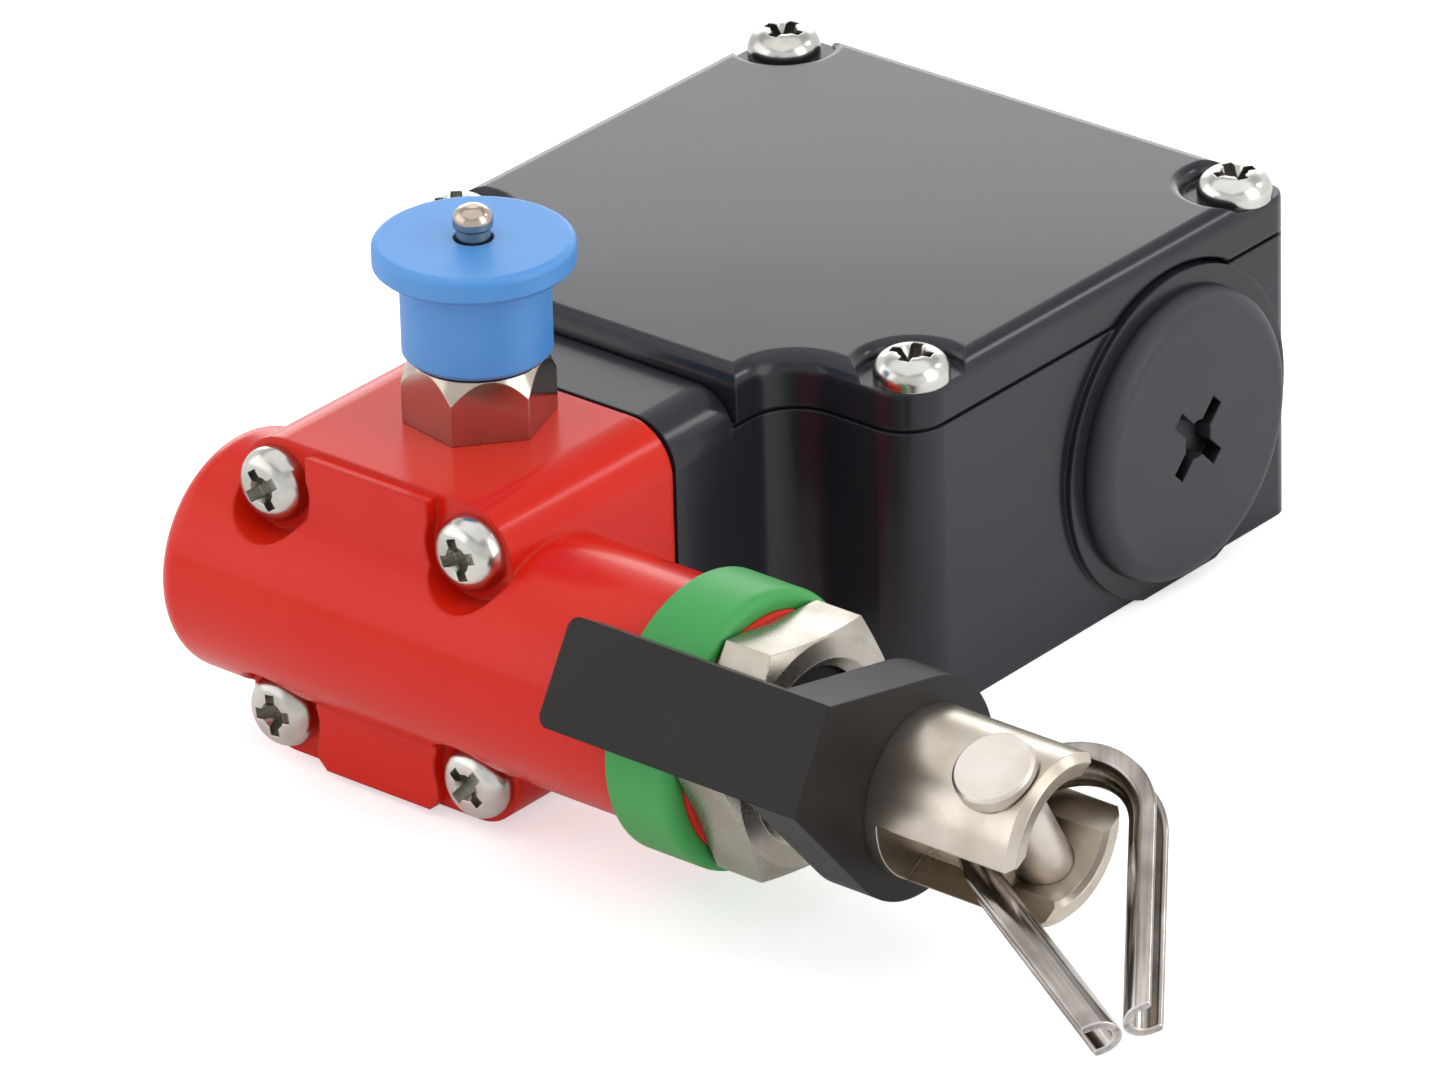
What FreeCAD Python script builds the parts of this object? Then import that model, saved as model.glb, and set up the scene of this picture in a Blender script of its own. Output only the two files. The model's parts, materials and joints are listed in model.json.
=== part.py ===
import FreeCAD, Part
import math
import os
import Sketcher

# Rope pull switch. Frame: the origin is the centre of the mounting hole pattern on the
# flat back face, +Z points away from the mounting surface, +X is the direction of pull
# of the rope and +Y runs from the operating head into the housing. Millimetres.

doc = FreeCAD.newDocument("rope_pull_switch")
V = FreeCAD.Vector

# Driving dimensions: alias, value, meaning
SIZES = [
    ("body_half_w", 34.8, "half width of the housing"),
    ("body_front", -27.0, "front face of the wide part of the housing"),
    ("body_end", 37.2, "end face of the housing with the open conduit entry"),
    ("body_corner", 5.0, "corner radius beside the head"),
    ("body_far_corner", 2.5, "corner radius at the conduit end"),
    ("neck_sweep", 5.5, "hollow radius between neck and housing"),
    ("neck_half_w", 18.0, "half width of the neck and of the head block"),
    ("neck_reach", 8.5, "reach of the cover over the neck"),
    ("neck_deep", 9.5, "depth of the raised part of the neck"),
    ("neck_top", 37.0, "top of the neck and of the head block"),
    ("neck_round", 5.0, "rounding of the long edges of the neck"),
    ("seam", 33.1, "height of the joint between housing and cover"),
    ("cover_h", 6.1, "height of the cover above the seam"),
    ("wall_side", 3.2, "side wall thickness of the housing"),
    ("wall_floor", 3.0, "floor thickness of the housing"),
    ("cover_wall", 2.6, "plate and skirt thickness of the cover"),
    ("cover_round", 2.2, "rounding of the upper edges of the cover"),
    ("gasket_t", 0.5, "thickness of the flat gaskets"),
    ("gasket_set", 0.6, "how far a gasket stays back from the outline"),
    ("post_r", 3.6, "radius of the screw posts"),
    ("post_inset", 3.9, "cover screws inside the side faces"),
    ("post_end_inset", 4.7, "cover screws inside the front and end faces"),
    ("screw_r", 1.95, "shank radius of the machine screws"),
    ("screw_hole_r", 2.2, "clearance hole radius of the machine screws"),
    ("screw_head_r", 4.05, "pan head radius of the machine screws"),
    ("screw_head_h", 2.9, "pan head height of the machine screws"),
    ("screw_dome", 2.2, "rounding of the pan heads"),
    ("screw_len", 14.0, "shank length of the cover screws"),
    ("head_screw_len", 33.0, "shank length of the head screws"),
    ("recess_half", 2.3, "half span of the cross recess"),
    ("recess_arm", 0.62, "half width of an arm of the cross recess"),
    ("recess_depth", 2.1, "depth of the cross recess"),
    ("recess_mouth", 1.5, "radius of the middle of the cross recess"),
    ("seat_depth", 1.5, "cover screw seats below the top face"),
    ("pocket_r", 5.5, "floor radius of the recess round a cover screw"),
    ("pocket_round", 1.4, "rounded mouth of that recess"),
    ("mount_x", 21.0, "mounting holes from the centre, across"),
    ("mount_y", 20.0, "mounting holes from the centre, along"),
    ("mount_r", 2.65, "radius of the mounting holes"),
    ("entry_y", 16.4, "side conduit entries from the origin"),
    ("entry_z", 17.4, "height of the conduit entries"),
    ("entry_r", 11.75, "wall radius of the threaded conduit entries"),
    ("entry_boss_r", 18.5, "radius of the raised disc round a side entry"),
    ("entry_boss_out", 0.8, "height of the raised disc"),
    ("entry_inner_r", 14.4, "radius of the boss inside the wall"),
    ("entry_depth", 8.1, "how far the entry boss reaches inside the outer face"),
    ("plug_r", 16.3, "flange radius of a conduit plug"),
    ("plug_t", 2.6, "flange thickness of a conduit plug"),
    ("plug_round", 2.1, "rounding of the plug flange"),
    ("plug_len", 8.0, "spigot length of a conduit plug"),
    ("plug_wall", 2.7, "wall of the hollow plug spigot"),
    ("plug_cross", 4.8, "half span of the cross recess of a plug"),
    ("plug_arm", 0.95, "half width of an arm of that recess"),
    ("plug_centre", 2.2, "centre radius of that recess"),
    ("plug_recess", 2.2, "depth of that recess"),
    ("fit_gap", 0.03, "clearance of fitted cylinders"),
    ("run_gap", 0.05, "clearance of sliding cylinders"),
    ("axis_out", 19.84, "pull axis in front of the neck face"),
    ("axis_z", 19.03, "height of the pull axis"),
    ("rib_out", 7.6, "front of the head ribs from the pull axis"),
    ("seat_out", 6.06, "front of the head block with the screw seats from the pull axis"),
    ("rib_half_w", 8.2, "half width of the ribs above and below the barrel"),
    ("rib_bevel", 1.2, "bevel of the lower corners of the rib"),
    ("rib_low", 0.4, "upper end of the rib below the top of the head block"),
    ("head_round", 5.5, "rounding of the long edges of the head block"),
    ("head_bottom", 1.0, "underside of the head block"),
    ("barrel_r", 13.02, "radius of the head barrel"),
    ("barrel_tail", 7.3, "closed end of the barrel outside the block"),
    ("barrel_nose", 19.3, "shoulder of the barrel outside the block"),
    ("barrel_round", 2.6, "rounding of the closed end"),
    ("barrel_end_wall", 3.0, "thickness of the closed end"),
    ("tube_r", 12.85, "radius of the tube that carries the ring"),
    ("tube_len", 8.7, "length of that tube"),
    ("bore_r", 9.5, "radius of the main bore of the head"),
    ("head_screw_inset", 4.8, "head screws inside the sides of the block"),
    ("head_screw_z", 13.0, "head screws above and below the pull axis"),
    ("scallop_r", 5.4, "radius of the recess round a head screw"),
    ("channel_r", 4.0, "radius of the plunger channel"),
    ("guide_r", 5.0, "outer radius of the plunger guide bush"),
    ("guide_len", 6.5, "length of the plunger guide bush"),
    ("plunger_r", 2.5, "radius of the cam plunger"),
    ("plunger_reach", 15.0, "inner end of the cam plunger behind the neck face"),
    ("reset_back", 10.34, "reset axis behind the pull axis"),
    ("reset_thread_r", 5.5, "radius of the reset guide nut spigot"),
    ("reset_spigot_len", 6.0, "length of the reset guide nut spigot"),
    ("reset_nut_h", 7.0, "height of the reset guide nut"),
    ("reset_nut_af", 14.0, "width across flats of the reset guide nut"),
    ("reset_nut_turn", 20.0, "angle of the reset guide nut flats"),
    ("reset_bore_r", 4.3, "spring chamber radius in the guide nut"),
    ("reset_roof", 2.5, "roof of the spring chamber in the guide nut"),
    ("reset_chamber", 5.47, "lower end of the spring chamber above the pull axis"),
    ("stem_r", 2.1, "radius of the reset stem"),
    ("stem_tip", 2.57, "lower end of the reset stem above the pull axis"),
    ("stem_rise", 3.5, "domed end of the reset stem above the knob"),
    ("stem_dome", 1.5, "rounding of the domed end"),
    ("clip_up", 1.1, "clip on the reset stem above the chamber floor"),
    ("knob_gap", 0.35, "gap between knob and guide nut"),
    ("knob_body_h", 9.85, "height of the knob body"),
    ("knob_flange_t", 2.9, "thickness of the knob flange"),
    ("knob_r", 7.8, "body radius of the reset knob"),
    ("knob_flange_r", 10.5, "flange radius of the reset knob"),
    ("knob_round", 0.8, "rounding of the upper rim of the knob"),
    ("shaft_r", 5.0, "radius of the pull shaft"),
    ("shaft_thread_r", 4.0, "radius of the threaded shaft end"),
    ("cam_low_r", 3.0, "cam radius under the plunger at rest"),
    ("cam_slope", 0.125, "rise of the plunger per millimetre of pull"),
    ("piston_r", 9.4, "radius of the guide land of the shaft"),
    ("clip_x", 7.0, "shaft circlip along the pull axis"),
    ("spring_seat_t", 1.2, "thickness of the spring seat"),
    ("shaft_coil_r", 7.4, "coil radius of the shaft spring"),
    ("shaft_wire_r", 0.85, "wire radius of the shaft spring"),
    ("reset_coil_r", 3.25, "coil radius of the reset spring"),
    ("carriage_coil_r", 2.4, "coil radius of the carriage spring"),
    ("ring_r", 14.9, "radius of the green ring"),
    ("ring_round", 1.3, "rounding of the green ring"),
    ("ring_short", 0.4, "how far the ring ends before its tube"),
    ("bush_af", 24.7, "width across flats of the end bush"),
    ("bush_hex", 6.55, "length of the end bush hexagon"),
    ("bush_spigot", 8.0, "length of the end bush spigot"),
    ("bush_turn", -5.3, "angle of the end bush flats"),
    ("seal_r", 8.6, "seat radius of the shaft wiper"),
    ("shaft_show", 7.15, "free shaft between end bush and pointer"),
    ("pointer_t", 6.0, "thickness of the pointer hub"),
    ("pointer_r", 11.75, "hub radius of the pointer"),
    ("pointer_top", 19.4, "outer face of the pointer blade from the axis"),
    ("pointer_under", 15.35, "inner face of the pointer blade from the axis"),
    ("pointer_half_w", 5.8, "half width of the pointer blade"),
    ("pointer_over", 4.8, "reach of the blade past the ring"),
    ("pointer_corner", 1.3, "corner radius of the blade"),
    ("pointer_angle", 30.75, "direction of the blade above the front"),
    ("fork_r", 9.0, "radius of the fork"),
    ("fork_bore_r", 6.3, "bore radius of the fork"),
    ("fork_base", 1.6, "thickness of the fork bottom"),
    ("fork_slot", 9.0, "width of the fork slot"),
    ("fork_reach", 11.6, "fork pin from the bottom of the slot"),
    ("fork_nose", 5.4, "end of the fork beyond the pin"),
    ("fork_round", 0.8, "rounding of the fork end"),
    ("fork_pin_r", 3.0, "radius of the fork pin"),
    ("fork_pin_head_r", 4.3, "radius of the fork pin head"),
    ("fork_pin_head_h", 1.8, "height of the fork pin head"),
    ("fork_spot", 0.6, "depth of the spot face under the pin head"),
    ("fork_angle", 60.4, "direction of the fork pin above the front"),
    ("eye_in", 6.9, "inner radius of the thimble crown"),
    ("eye_deep", 3.4, "depth of the thimble gutter"),
    ("eye_w", 4.8, "width of the thimble gutter"),
    ("eye_t", 0.9, "sheet thickness of the thimble"),
    ("eye_offset", 3.7, "crown centre from the fork pin"),
    ("eye_lean", 13.0, "direction of the crown centre above the pull axis"),
    ("eye_shift", -1.4, "middle plane of the thimble along the pin"),
    ("eye_tip_gap", 0.12, "half gap between the ends of the thimble arms"),
    ("eye_half_angle", 15.5, "half angle between the thimble arms"),
    ("eye_rest", 42.3, "rest angle of the thimble below the pull axis"),
    ("block_gap", 0.6, "contact block behind the front wall"),
    ("block_half_w", 16.0, "half width of the contact block"),
    ("block_len", 45.2, "length of the contact block"),
    ("block_foot_h", 9.0, "height of the foot of the contact block"),
    ("block_h", 19.0, "height of the sides of the contact block"),
    ("block_side_len", 38.2, "length of the sides of the contact block"),
    ("block_end_t", 3.2, "thickness of its end wall"),
    ("block_screw_in", 3.5, "screws inside the sides of the contact block"),
    ("block_screw_back", 18.7, "block screws from the block front"),
    ("terminal_front", 4.7, "front terminal screws from the block front"),
    ("terminal_back", 32.7, "rear terminal screws from the block front"),
    ("slide_half_w", 9.6, "half width of the carriage channel"),
    ("carriage_half_w", 4.0, "half width of the contact carriage"),
    ("carriage_len", 42.0, "length of the contact carriage with its nose"),
    ("bridge_front", 9.2, "front bridge from the block front"),
    ("bridge_step", 16.0, "distance between the two bridges"),
    ("strip_t", 0.8, "thickness of the contact strips"),
    ("carriage_boss_r", 1.6, "radius of the boss that centres the carriage spring"),
    ("carriage_spring_deep", 6.0, "depth of the spring hole in the carriage"),
    ("small_screw_r", 1.47, "shank radius of terminal and block screws"),
    ("small_head_r", 2.9, "head radius of terminal and block screws"),
    ("terminal_len", 6.0, "shank length of the terminal screws"),
    ("block_bite", 1.6, "bite of the block screws in the floor"),
    ("earth_post_r", 3.5, "radius of the earth post"),
    ("earth_post_h", 6.0, "height of the earth post above the floor"),
    ("earth_screw_r", 1.72, "shank radius of the earth screw"),
    ("earth_clamp_w", 3.9, "half width of the earth clamp"),
    ("earth_clamp_t", 0.9, "thickness of the earth clamp"),
    ("earth_in", 10.8, "earth screw inside the left side face"),
    ("earth_back", 15.0, "earth screw behind the front face"),
]


class Size:
    """A length that remembers the spreadsheet expression it came from."""

    def __init__(self, text, value):
        self.text = text
        self.value = float(value)

    def __add__(self, other):
        other = as_size(other)
        return Size(f"({self.text} + {other.text})", self.value + other.value)

    def __radd__(self, other):
        return as_size(other) + self

    def __sub__(self, other):
        other = as_size(other)
        return Size(f"({self.text} - {other.text})", self.value - other.value)

    def __rsub__(self, other):
        return as_size(other) - self

    def __mul__(self, other):
        other = as_size(other)
        return Size(f"({self.text} * {other.text})", self.value * other.value)

    def __rmul__(self, other):
        return as_size(other) * self

    def __neg__(self):
        return Size(f"(0 - {self.text})", -self.value)

    def __float__(self):
        return self.value


def as_size(number):
    if isinstance(number, Size):
        return number
    return Size(f"({float(number):.6f})", number)


def add_places(table):
    """Places that follow from the driving dimensions."""
    table["neck_back"] = table["body_front"] - table["neck_reach"]
    table["neck_face"] = table["neck_back"] - table["neck_deep"]
    table["cover_top"] = table["seam"] + table["cover_h"]
    table["screw_seat"] = table["cover_top"] - table["seat_depth"]
    table["post_x"] = table["body_half_w"] - table["post_inset"]
    table["post_y_near"] = table["body_front"] + table["post_end_inset"]
    table["post_y_far"] = table["body_end"] - table["post_end_inset"]
    table["axis_y"] = table["neck_face"] - table["axis_out"]
    table["head_front"] = table["axis_y"] - table["rib_out"]
    table["head_seat"] = table["axis_y"] - table["seat_out"]
    table["head_screw_x"] = table["neck_half_w"] - table["head_screw_inset"]
    table["barrel_left"] = -table["neck_half_w"] - table["barrel_tail"]
    table["barrel_right"] = table["neck_half_w"] + table["barrel_nose"]
    table["bore_left"] = table["barrel_left"] + table["barrel_end_wall"]
    table["tube_end"] = table["barrel_right"] + table["tube_len"]
    table["bush_low"] = table["tube_end"] - table["bush_spigot"]
    table["bush_end"] = table["tube_end"] + table["bush_hex"]
    table["pointer_back"] = table["bush_end"] + table["shaft_show"]
    table["pointer_front"] = table["pointer_back"] + table["pointer_t"]
    table["pointer_tip"] = table["barrel_right"] - table["pointer_over"]
    table["fork_floor"] = table["pointer_front"] + table["fork_base"]
    table["fork_pin_x"] = table["fork_floor"] + table["fork_reach"]
    table["fork_end"] = table["fork_pin_x"] + table["fork_nose"]
    table["plunger_end"] = table["neck_face"] + table["plunger_reach"]
    table["reset_y"] = table["axis_y"] + table["reset_back"]
    table["reset_spigot"] = table["neck_top"] - table["reset_spigot_len"]
    table["reset_nut_top"] = table["neck_top"] + table["reset_nut_h"]
    table["reset_chamber_top"] = table["reset_nut_top"] - table["reset_roof"]
    table["reset_chamber_low"] = table["axis_z"] + table["reset_chamber"]
    table["clip_z"] = table["reset_chamber_low"] + table["clip_up"]
    table["stem_low"] = table["axis_z"] + table["stem_tip"]
    table["knob_low"] = table["reset_nut_top"] + table["knob_gap"]
    table["knob_flange_z"] = table["knob_low"] + table["knob_body_h"]
    table["knob_top"] = table["knob_flange_z"] + table["knob_flange_t"]
    table["stem_top"] = table["knob_top"] + table["stem_rise"]
    table["block_front"] = table["body_front"] + table["wall_side"] + table["block_gap"]
    table["block_end"] = table["block_front"] + table["block_len"]
    table["block_top"] = table["wall_floor"] + table["block_h"]
    table["foot_top"] = table["wall_floor"] + table["block_foot_h"]
    table["block_seat"] = table["foot_top"] + 2
    table["block_screw_x"] = table["block_half_w"] - table["block_screw_in"]
    table["block_screw_y"] = table["block_front"] + table["block_screw_back"]
    table["terminal_a"] = table["block_front"] + table["terminal_front"]
    table["terminal_b"] = table["block_front"] + table["terminal_back"]
    table["bridge_a"] = table["block_front"] + table["bridge_front"]
    table["bridge_b"] = table["bridge_a"] + table["bridge_step"]
    table["earth_x"] = table["earth_in"] - table["body_half_w"]
    table["earth_y"] = table["body_front"] + table["earth_back"]


def fill_sheet():
    """Write every driving dimension and return them as sizes."""
    sheet = doc.addObject("Spreadsheet::Sheet", "sizes")
    table = {}
    for row, (alias, value, note) in enumerate(SIZES, start=1):
        sheet.set(f"A{row}", note)
        sheet.set(f"B{row}", str(value))
        sheet.setAlias(f"B{row}", alias)
        table[alias] = Size(f"sizes.{alias}", value)
    doc.recompute()
    add_places(table)
    return table


S = fill_sheet()


def bind(thing, prop, size):
    """Set a property by expression where the size comes from the sheet."""
    if isinstance(size, Size):
        thing.setExpression(prop, size.text)
    else:
        setattr(thing, prop.split(".")[-1], size)


# Helpers for bodies


def new_body(name, at=(0, 0, 0), turn=None):
    body = doc.addObject("PartDesign::Body", name)
    body.Label = name
    if turn is not None:
        body.Placement = FreeCAD.Placement(V(0, 0, 0), turn)
    for axis, size in zip("xyz", at):
        body.setExpression(f".Placement.Base.{axis}", as_size(size).text)
    return body


def new_sketch(body, name, role, start=0):
    """Sketch on an origin plane, moved by start along the plane's world normal."""
    sketch = body.newObject("Sketcher::SketchObject", f"{body.Name}_{name}_sketch")
    plane = [feature for feature in body.Origin.OriginFeatures if feature.Role == role][0]
    sketch.AttachmentSupport = [(plane, "")]
    sketch.MapMode = "FlatFace"
    start = as_size(start)
    if role == "XZ_Plane":
        start = -start
    sketch.setExpression(".AttachmentOffset.Base.z", start.text)
    return sketch


def fix_point(sketch, geometry, position, x, y):
    """Tie one point to the sketch origin by its two distances."""
    for kind, axis, size in (("DistanceX", -2, as_size(x)), ("DistanceY", -1, as_size(y))):
        if abs(size.value) < 1e-9:
            sketch.addConstraint(Sketcher.Constraint("PointOnObject", geometry, position, axis))
            continue
        rule = Sketcher.Constraint(kind, -1, 1, geometry, position, size.value)
        number = sketch.addConstraint(rule)
        sketch.setExpression(f"Constraints[{number}]", size.text)


def draw_outline(sketch, points):
    """Closed polyline whose corners follow the sheet."""
    flat = [V(float(x), float(y), 0) for x, y in points]
    first = sketch.GeometryCount
    count = len(flat)
    lines = [Part.LineSegment(flat[i], flat[(i + 1) % count]) for i in range(count)]
    sketch.addGeometry(lines, False)
    for i in range(count):
        following = first + (i + 1) % count
        sketch.addConstraint(Sketcher.Constraint("Coincident", first + i, 2, following, 1))
    for i, (x, y) in enumerate(points):
        fix_point(sketch, first + i, 1, x, y)


def draw_circle(sketch, x, y, r):
    circle = Part.Circle(V(float(x), float(y), 0), V(0, 0, 1), float(r))
    number = sketch.addGeometry(circle, False)
    rule = sketch.addConstraint(Sketcher.Constraint("Radius", number, float(r)))
    sketch.setExpression(f"Constraints[{rule}]", as_size(r).text)
    fix_point(sketch, number, 3, x, y)


def extrude(body, name, role, start, length, cut=False, outline=None, circles=()):
    """Pad or pocket that runs from start to start + length along the world normal."""
    sketch = new_sketch(body, name, role, start)
    if outline:
        draw_outline(sketch, outline)
    for x, y, r in circles:
        draw_circle(sketch, x, y, r)
    kind = "PartDesign::Pocket" if cut else "PartDesign::Pad"
    feature = body.newObject(kind, f"{body.Name}_{name}")
    feature.Profile = (sketch, [""])
    feature.Length = float(length)
    bind(feature, "Length", length)
    feature.Reversed = cut != (role == "XZ_Plane")
    return feature


def turn_profile(body, name, points, cut=False):
    """Turned shape about the body's own Z axis from (radius, height) corners."""
    sketch = new_sketch(body, name, "XZ_Plane")
    draw_outline(sketch, points)
    kind = "PartDesign::Groove" if cut else "PartDesign::Revolution"
    feature = body.newObject(kind, f"{body.Name}_{name}")
    feature.Profile = (sketch, [""])
    feature.ReferenceAxis = (sketch, ["V_Axis"])
    feature.Angle = 360
    return feature


def soften(body, name, radius, wanted, chamfer=False):
    """Fillet or chamfer the edges of the tip that the test picks out."""
    doc.recompute()
    tip = body.Tip
    names = [f"Edge{i}" for i, edge in enumerate(tip.Shape.Edges, start=1) if wanted(edge)]
    if not names:
        raise RuntimeError(f"no edge to soften: {body.Name} {name}")
    kind = "PartDesign::Chamfer" if chamfer else "PartDesign::Fillet"
    feature = body.newObject(kind, f"{body.Name}_{name}")
    feature.Base = (tip, names)
    bind(feature, "Size" if chamfer else "Radius", radius)
    return feature


def middle(edge):
    return edge.valueAt((edge.FirstParameter + edge.LastParameter) / 2)


def runs_along(edge, axis):
    if edge.Curve.TypeId != "Part::GeomLine":
        return False
    direction = edge.tangentAt(edge.FirstParameter)
    return abs(abs(direction.dot(axis)) - 1) < 1e-6


def near(a, b, tolerance=0.02):
    return abs(float(a) - float(b)) < tolerance


def is_circle(edge):
    return edge.Curve.TypeId == "Part::GeomCircle"


def rim_at(height, radius):
    """Picks the circles of one radius at one height of the body's own axis."""
    def wanted(edge):
        return is_circle(edge) and near(edge.Curve.Radius, radius) and near(middle(edge).z, height)
    return wanted


def diagonal(points):
    """The same outline turned by an eighth of a turn."""
    return [((x - y) * 0.707107, (x + y) * 0.707107) for x, y in points]


def hexagon(flats):
    half = flats * 0.5
    side = flats * 0.288675
    tip = flats * 0.57735
    return [(half, -side), (half, side), (0, tip), (-half, side), (-half, -side), (0, -tip)]


def rectangle(x0, y0, x1, y1):
    return [(x0, y0), (x1, y0), (x1, y1), (x0, y1)]


def cross(arm, half):
    return [(half, half), (half, arm), (-half, arm), (-half, half), (-arm, half), (-arm, -half),
            (-half, -half), (-half, -arm), (half, -arm), (half, -half), (arm, -half), (arm, half)]


def plain(name, shape, place=None):
    """A piece whose shape is worked out with Part functions."""
    piece = doc.addObject("Part::Feature", name)
    piece.Label = name
    piece.Shape = shape
    piece.Placement = place or FreeCAD.Placement()
    return piece


def copies(name, master, places):
    """Identical pieces as one group of separate solids."""
    doc.recompute()
    solids = []
    for place in places:
        solid = master.Shape.copy()
        solid.Placement = place.multiply(solid.Placement)
        solids.append(solid)
    return plain(name, Part.makeCompound(solids))


def cylinder(radius, start, end):
    """Solid cylinder between two points."""
    start = V(*[float(v) for v in start])
    end = V(*[float(v) for v in end])
    axis = end - start
    return Part.makeCylinder(float(radius), axis.Length, start, axis)


TO_X = FreeCAD.Rotation(V(0, 1, 0), 90)
TO_MINUS_X = FreeCAD.Rotation(V(0, 1, 0), -90)
TO_MINUS_Y = FreeCAD.Rotation(V(1, 0, 0), 90)
UP = V(0, 0, 1)


def radial(angle):
    """Rotation with local Z along the pull axis and local Y at an angle above the front."""
    a = math.radians(float(angle))
    outward = V(0, -math.cos(a), math.sin(a))
    return FreeCAD.Rotation(outward.cross(V(1, 0, 0)), outward, V(1, 0, 0), "ZYX")


# Housing and what closes it


def body_outline(inset=0):
    w = S["body_half_w"] - inset
    n = S["neck_half_w"] - inset
    front = S["body_front"] + inset
    back = S["neck_back"] - 0.5 + inset
    end = S["body_end"] - inset
    return [(-n, back), (n, back), (n, front), (w, front), (w, end), (-w, end), (-w, front),
            (-n, front)]


def cavity_outline():
    w = S["body_half_w"] - S["wall_side"]
    n = S["neck_half_w"] - S["wall_side"]
    front = S["body_front"] + S["wall_side"]
    back = S["neck_back"] + S["wall_side"]
    end = S["body_end"] - S["wall_side"]
    return [(-n, back), (n, back), (n, front), (w, front), (w, end), (-w, end), (-w, front),
            (-n, front)]


def post_places():
    return [(sign * S["post_x"], y) for sign in (1, -1) for y in (S["post_y_near"], S["post_y_far"])]


def vertical_at(x, y):
    def wanted(edge):
        point = middle(edge)
        return runs_along(edge, UP) and near(abs(point.x), x) and near(point.y, y)
    return wanted


def make_housing():
    body = new_body("housing")
    n = S["neck_half_w"]
    w = S["body_half_w"]
    reach = S["entry_depth"]
    floor = S["wall_floor"]
    neck = rectangle(-n, 0, n, S["neck_top"])
    extrude(body, "neck", "XZ_Plane", S["neck_face"], S["neck_deep"], outline=neck)
    soften(body, "neck_round", S["neck_round"], lambda edge: runs_along(edge, V(0, 1, 0)))
    extrude(body, "wide", "XY_Plane", 0, S["seam"], outline=body_outline())
    soften(body, "sweep", S["neck_sweep"], vertical_at(n, S["body_front"]))
    soften(body, "corner", S["body_corner"], vertical_at(w, S["body_front"]))
    soften(body, "far_corner", S["body_far_corner"], vertical_at(w, S["body_end"]))
    disc = [(S["entry_y"], S["entry_z"], S["entry_boss_r"])]
    face = w + S["entry_boss_out"]
    extrude(body, "disc_right", "YZ_Plane", face - 2.4, 2.4, circles=disc)
    extrude(body, "disc_left", "YZ_Plane", -face, 2.4, circles=disc)
    cut_below = rectangle(-w - 5, S["body_front"], w + 5, S["body_end"])
    extrude(body, "foot", "XY_Plane", -5, 5, cut=True, outline=cut_below)
    extrude(body, "cavity", "XY_Plane", floor, S["seam"], cut=True, outline=cavity_outline())
    posts = [(x, y, S["post_r"]) for x, y in post_places()]
    extrude(body, "posts", "XY_Plane", floor - 1, S["seam"] - floor + 1, circles=posts)
    inner = [(S["entry_y"], S["entry_z"], S["entry_inner_r"])]
    extrude(body, "boss_right", "YZ_Plane", w - reach, reach - 1, circles=inner)
    extrude(body, "boss_left", "YZ_Plane", 1 - w, reach - 1, circles=inner)
    end_boss = [(0, S["entry_z"], S["entry_inner_r"])]
    extrude(body, "boss_end", "XZ_Plane", S["body_end"] - reach, reach - 1, circles=end_boss)
    earth = [(S["earth_x"], S["earth_y"], S["earth_post_r"])]
    extrude(body, "earth_post", "XY_Plane", floor - 1, S["earth_post_h"] + 1, circles=earth)
    bore = [(S["entry_y"], S["entry_z"], S["entry_r"])]
    extrude(body, "bore_right", "YZ_Plane", w - reach - 1, reach + 4, cut=True, circles=bore)
    extrude(body, "bore_left", "YZ_Plane", -w - 3, reach + 4, cut=True, circles=bore)
    end_bore = [(0, S["entry_z"], S["entry_r"])]
    start = S["body_end"] - reach - 1
    extrude(body, "bore_end", "XZ_Plane", start, reach + 4, cut=True, circles=end_bore)
    tap_housing(body)
    return body


def tap_housing(body):
    """Screw holes, mounting holes and the passage of the plunger."""
    tap = S["screw_r"] + S["fit_gap"]
    screws = [(x, y, tap) for x, y in post_places()]
    deep = S["screw_len"] + 1
    extrude(body, "tapped", "XY_Plane", S["seam"] - deep, deep + 5, cut=True, circles=screws)
    x, y = S["mount_x"], S["mount_y"]
    mounts = [(sx * x, sy * y, S["mount_r"]) for sx in (1, -1) for sy in (1, -1)]
    extrude(body, "mounting", "XY_Plane", -1, S["wall_floor"] + 2, cut=True, circles=mounts)
    channel = [(0, S["axis_z"], S["channel_r"])]
    deep = S["neck_deep"] + S["wall_side"] + 3
    extrude(body, "channel", "XZ_Plane", S["neck_face"] - 1, deep, cut=True, circles=channel)
    holes = [(x, z, tap) for x, z in head_screw_places()]
    deep = S["neck_deep"] - 0.5
    extrude(body, "head_tapped", "XZ_Plane", S["neck_face"] - 1, deep, cut=True, circles=holes)
    small = [(x, y, S["small_screw_r"] + S["fit_gap"]) for x, y in block_screw_places()]
    start = S["wall_floor"] - S["block_bite"] - 0.5
    extrude(body, "block_tapped", "XY_Plane", start, 5, cut=True, circles=small)
    earth = [(S["earth_x"], S["earth_y"], S["earth_screw_r"] + S["fit_gap"])]
    extrude(body, "earth_tapped", "XY_Plane", S["wall_floor"] + 1, 8, cut=True, circles=earth)


def rim_solid(inset, low, high):
    """Prism over the whole housing outline with its rounded corners."""
    points = [V(float(x), float(y), float(low)) for x, y in body_outline(inset)]
    face = Part.Face(Part.makePolygon(points + points[:1]))
    solid = face.extrude(V(0, 0, float(high) - float(low)))
    gap = float(inset)
    corners = [
        (S["neck_half_w"] - gap, S["body_front"] + gap, float(S["neck_sweep"]) + gap),
        (S["body_half_w"] - gap, S["body_front"] + gap, max(float(S["body_corner"]) - gap, 0.3)),
        (S["body_half_w"] - gap, S["body_end"] - gap, max(float(S["body_far_corner"]) - gap, 0.3)),
    ]
    for x, y, radius in corners:
        edges = [edge for edge in solid.Edges if vertical_at(x, y)(edge)]
        solid = solid.makeFillet(radius, edges)
    return solid


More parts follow.
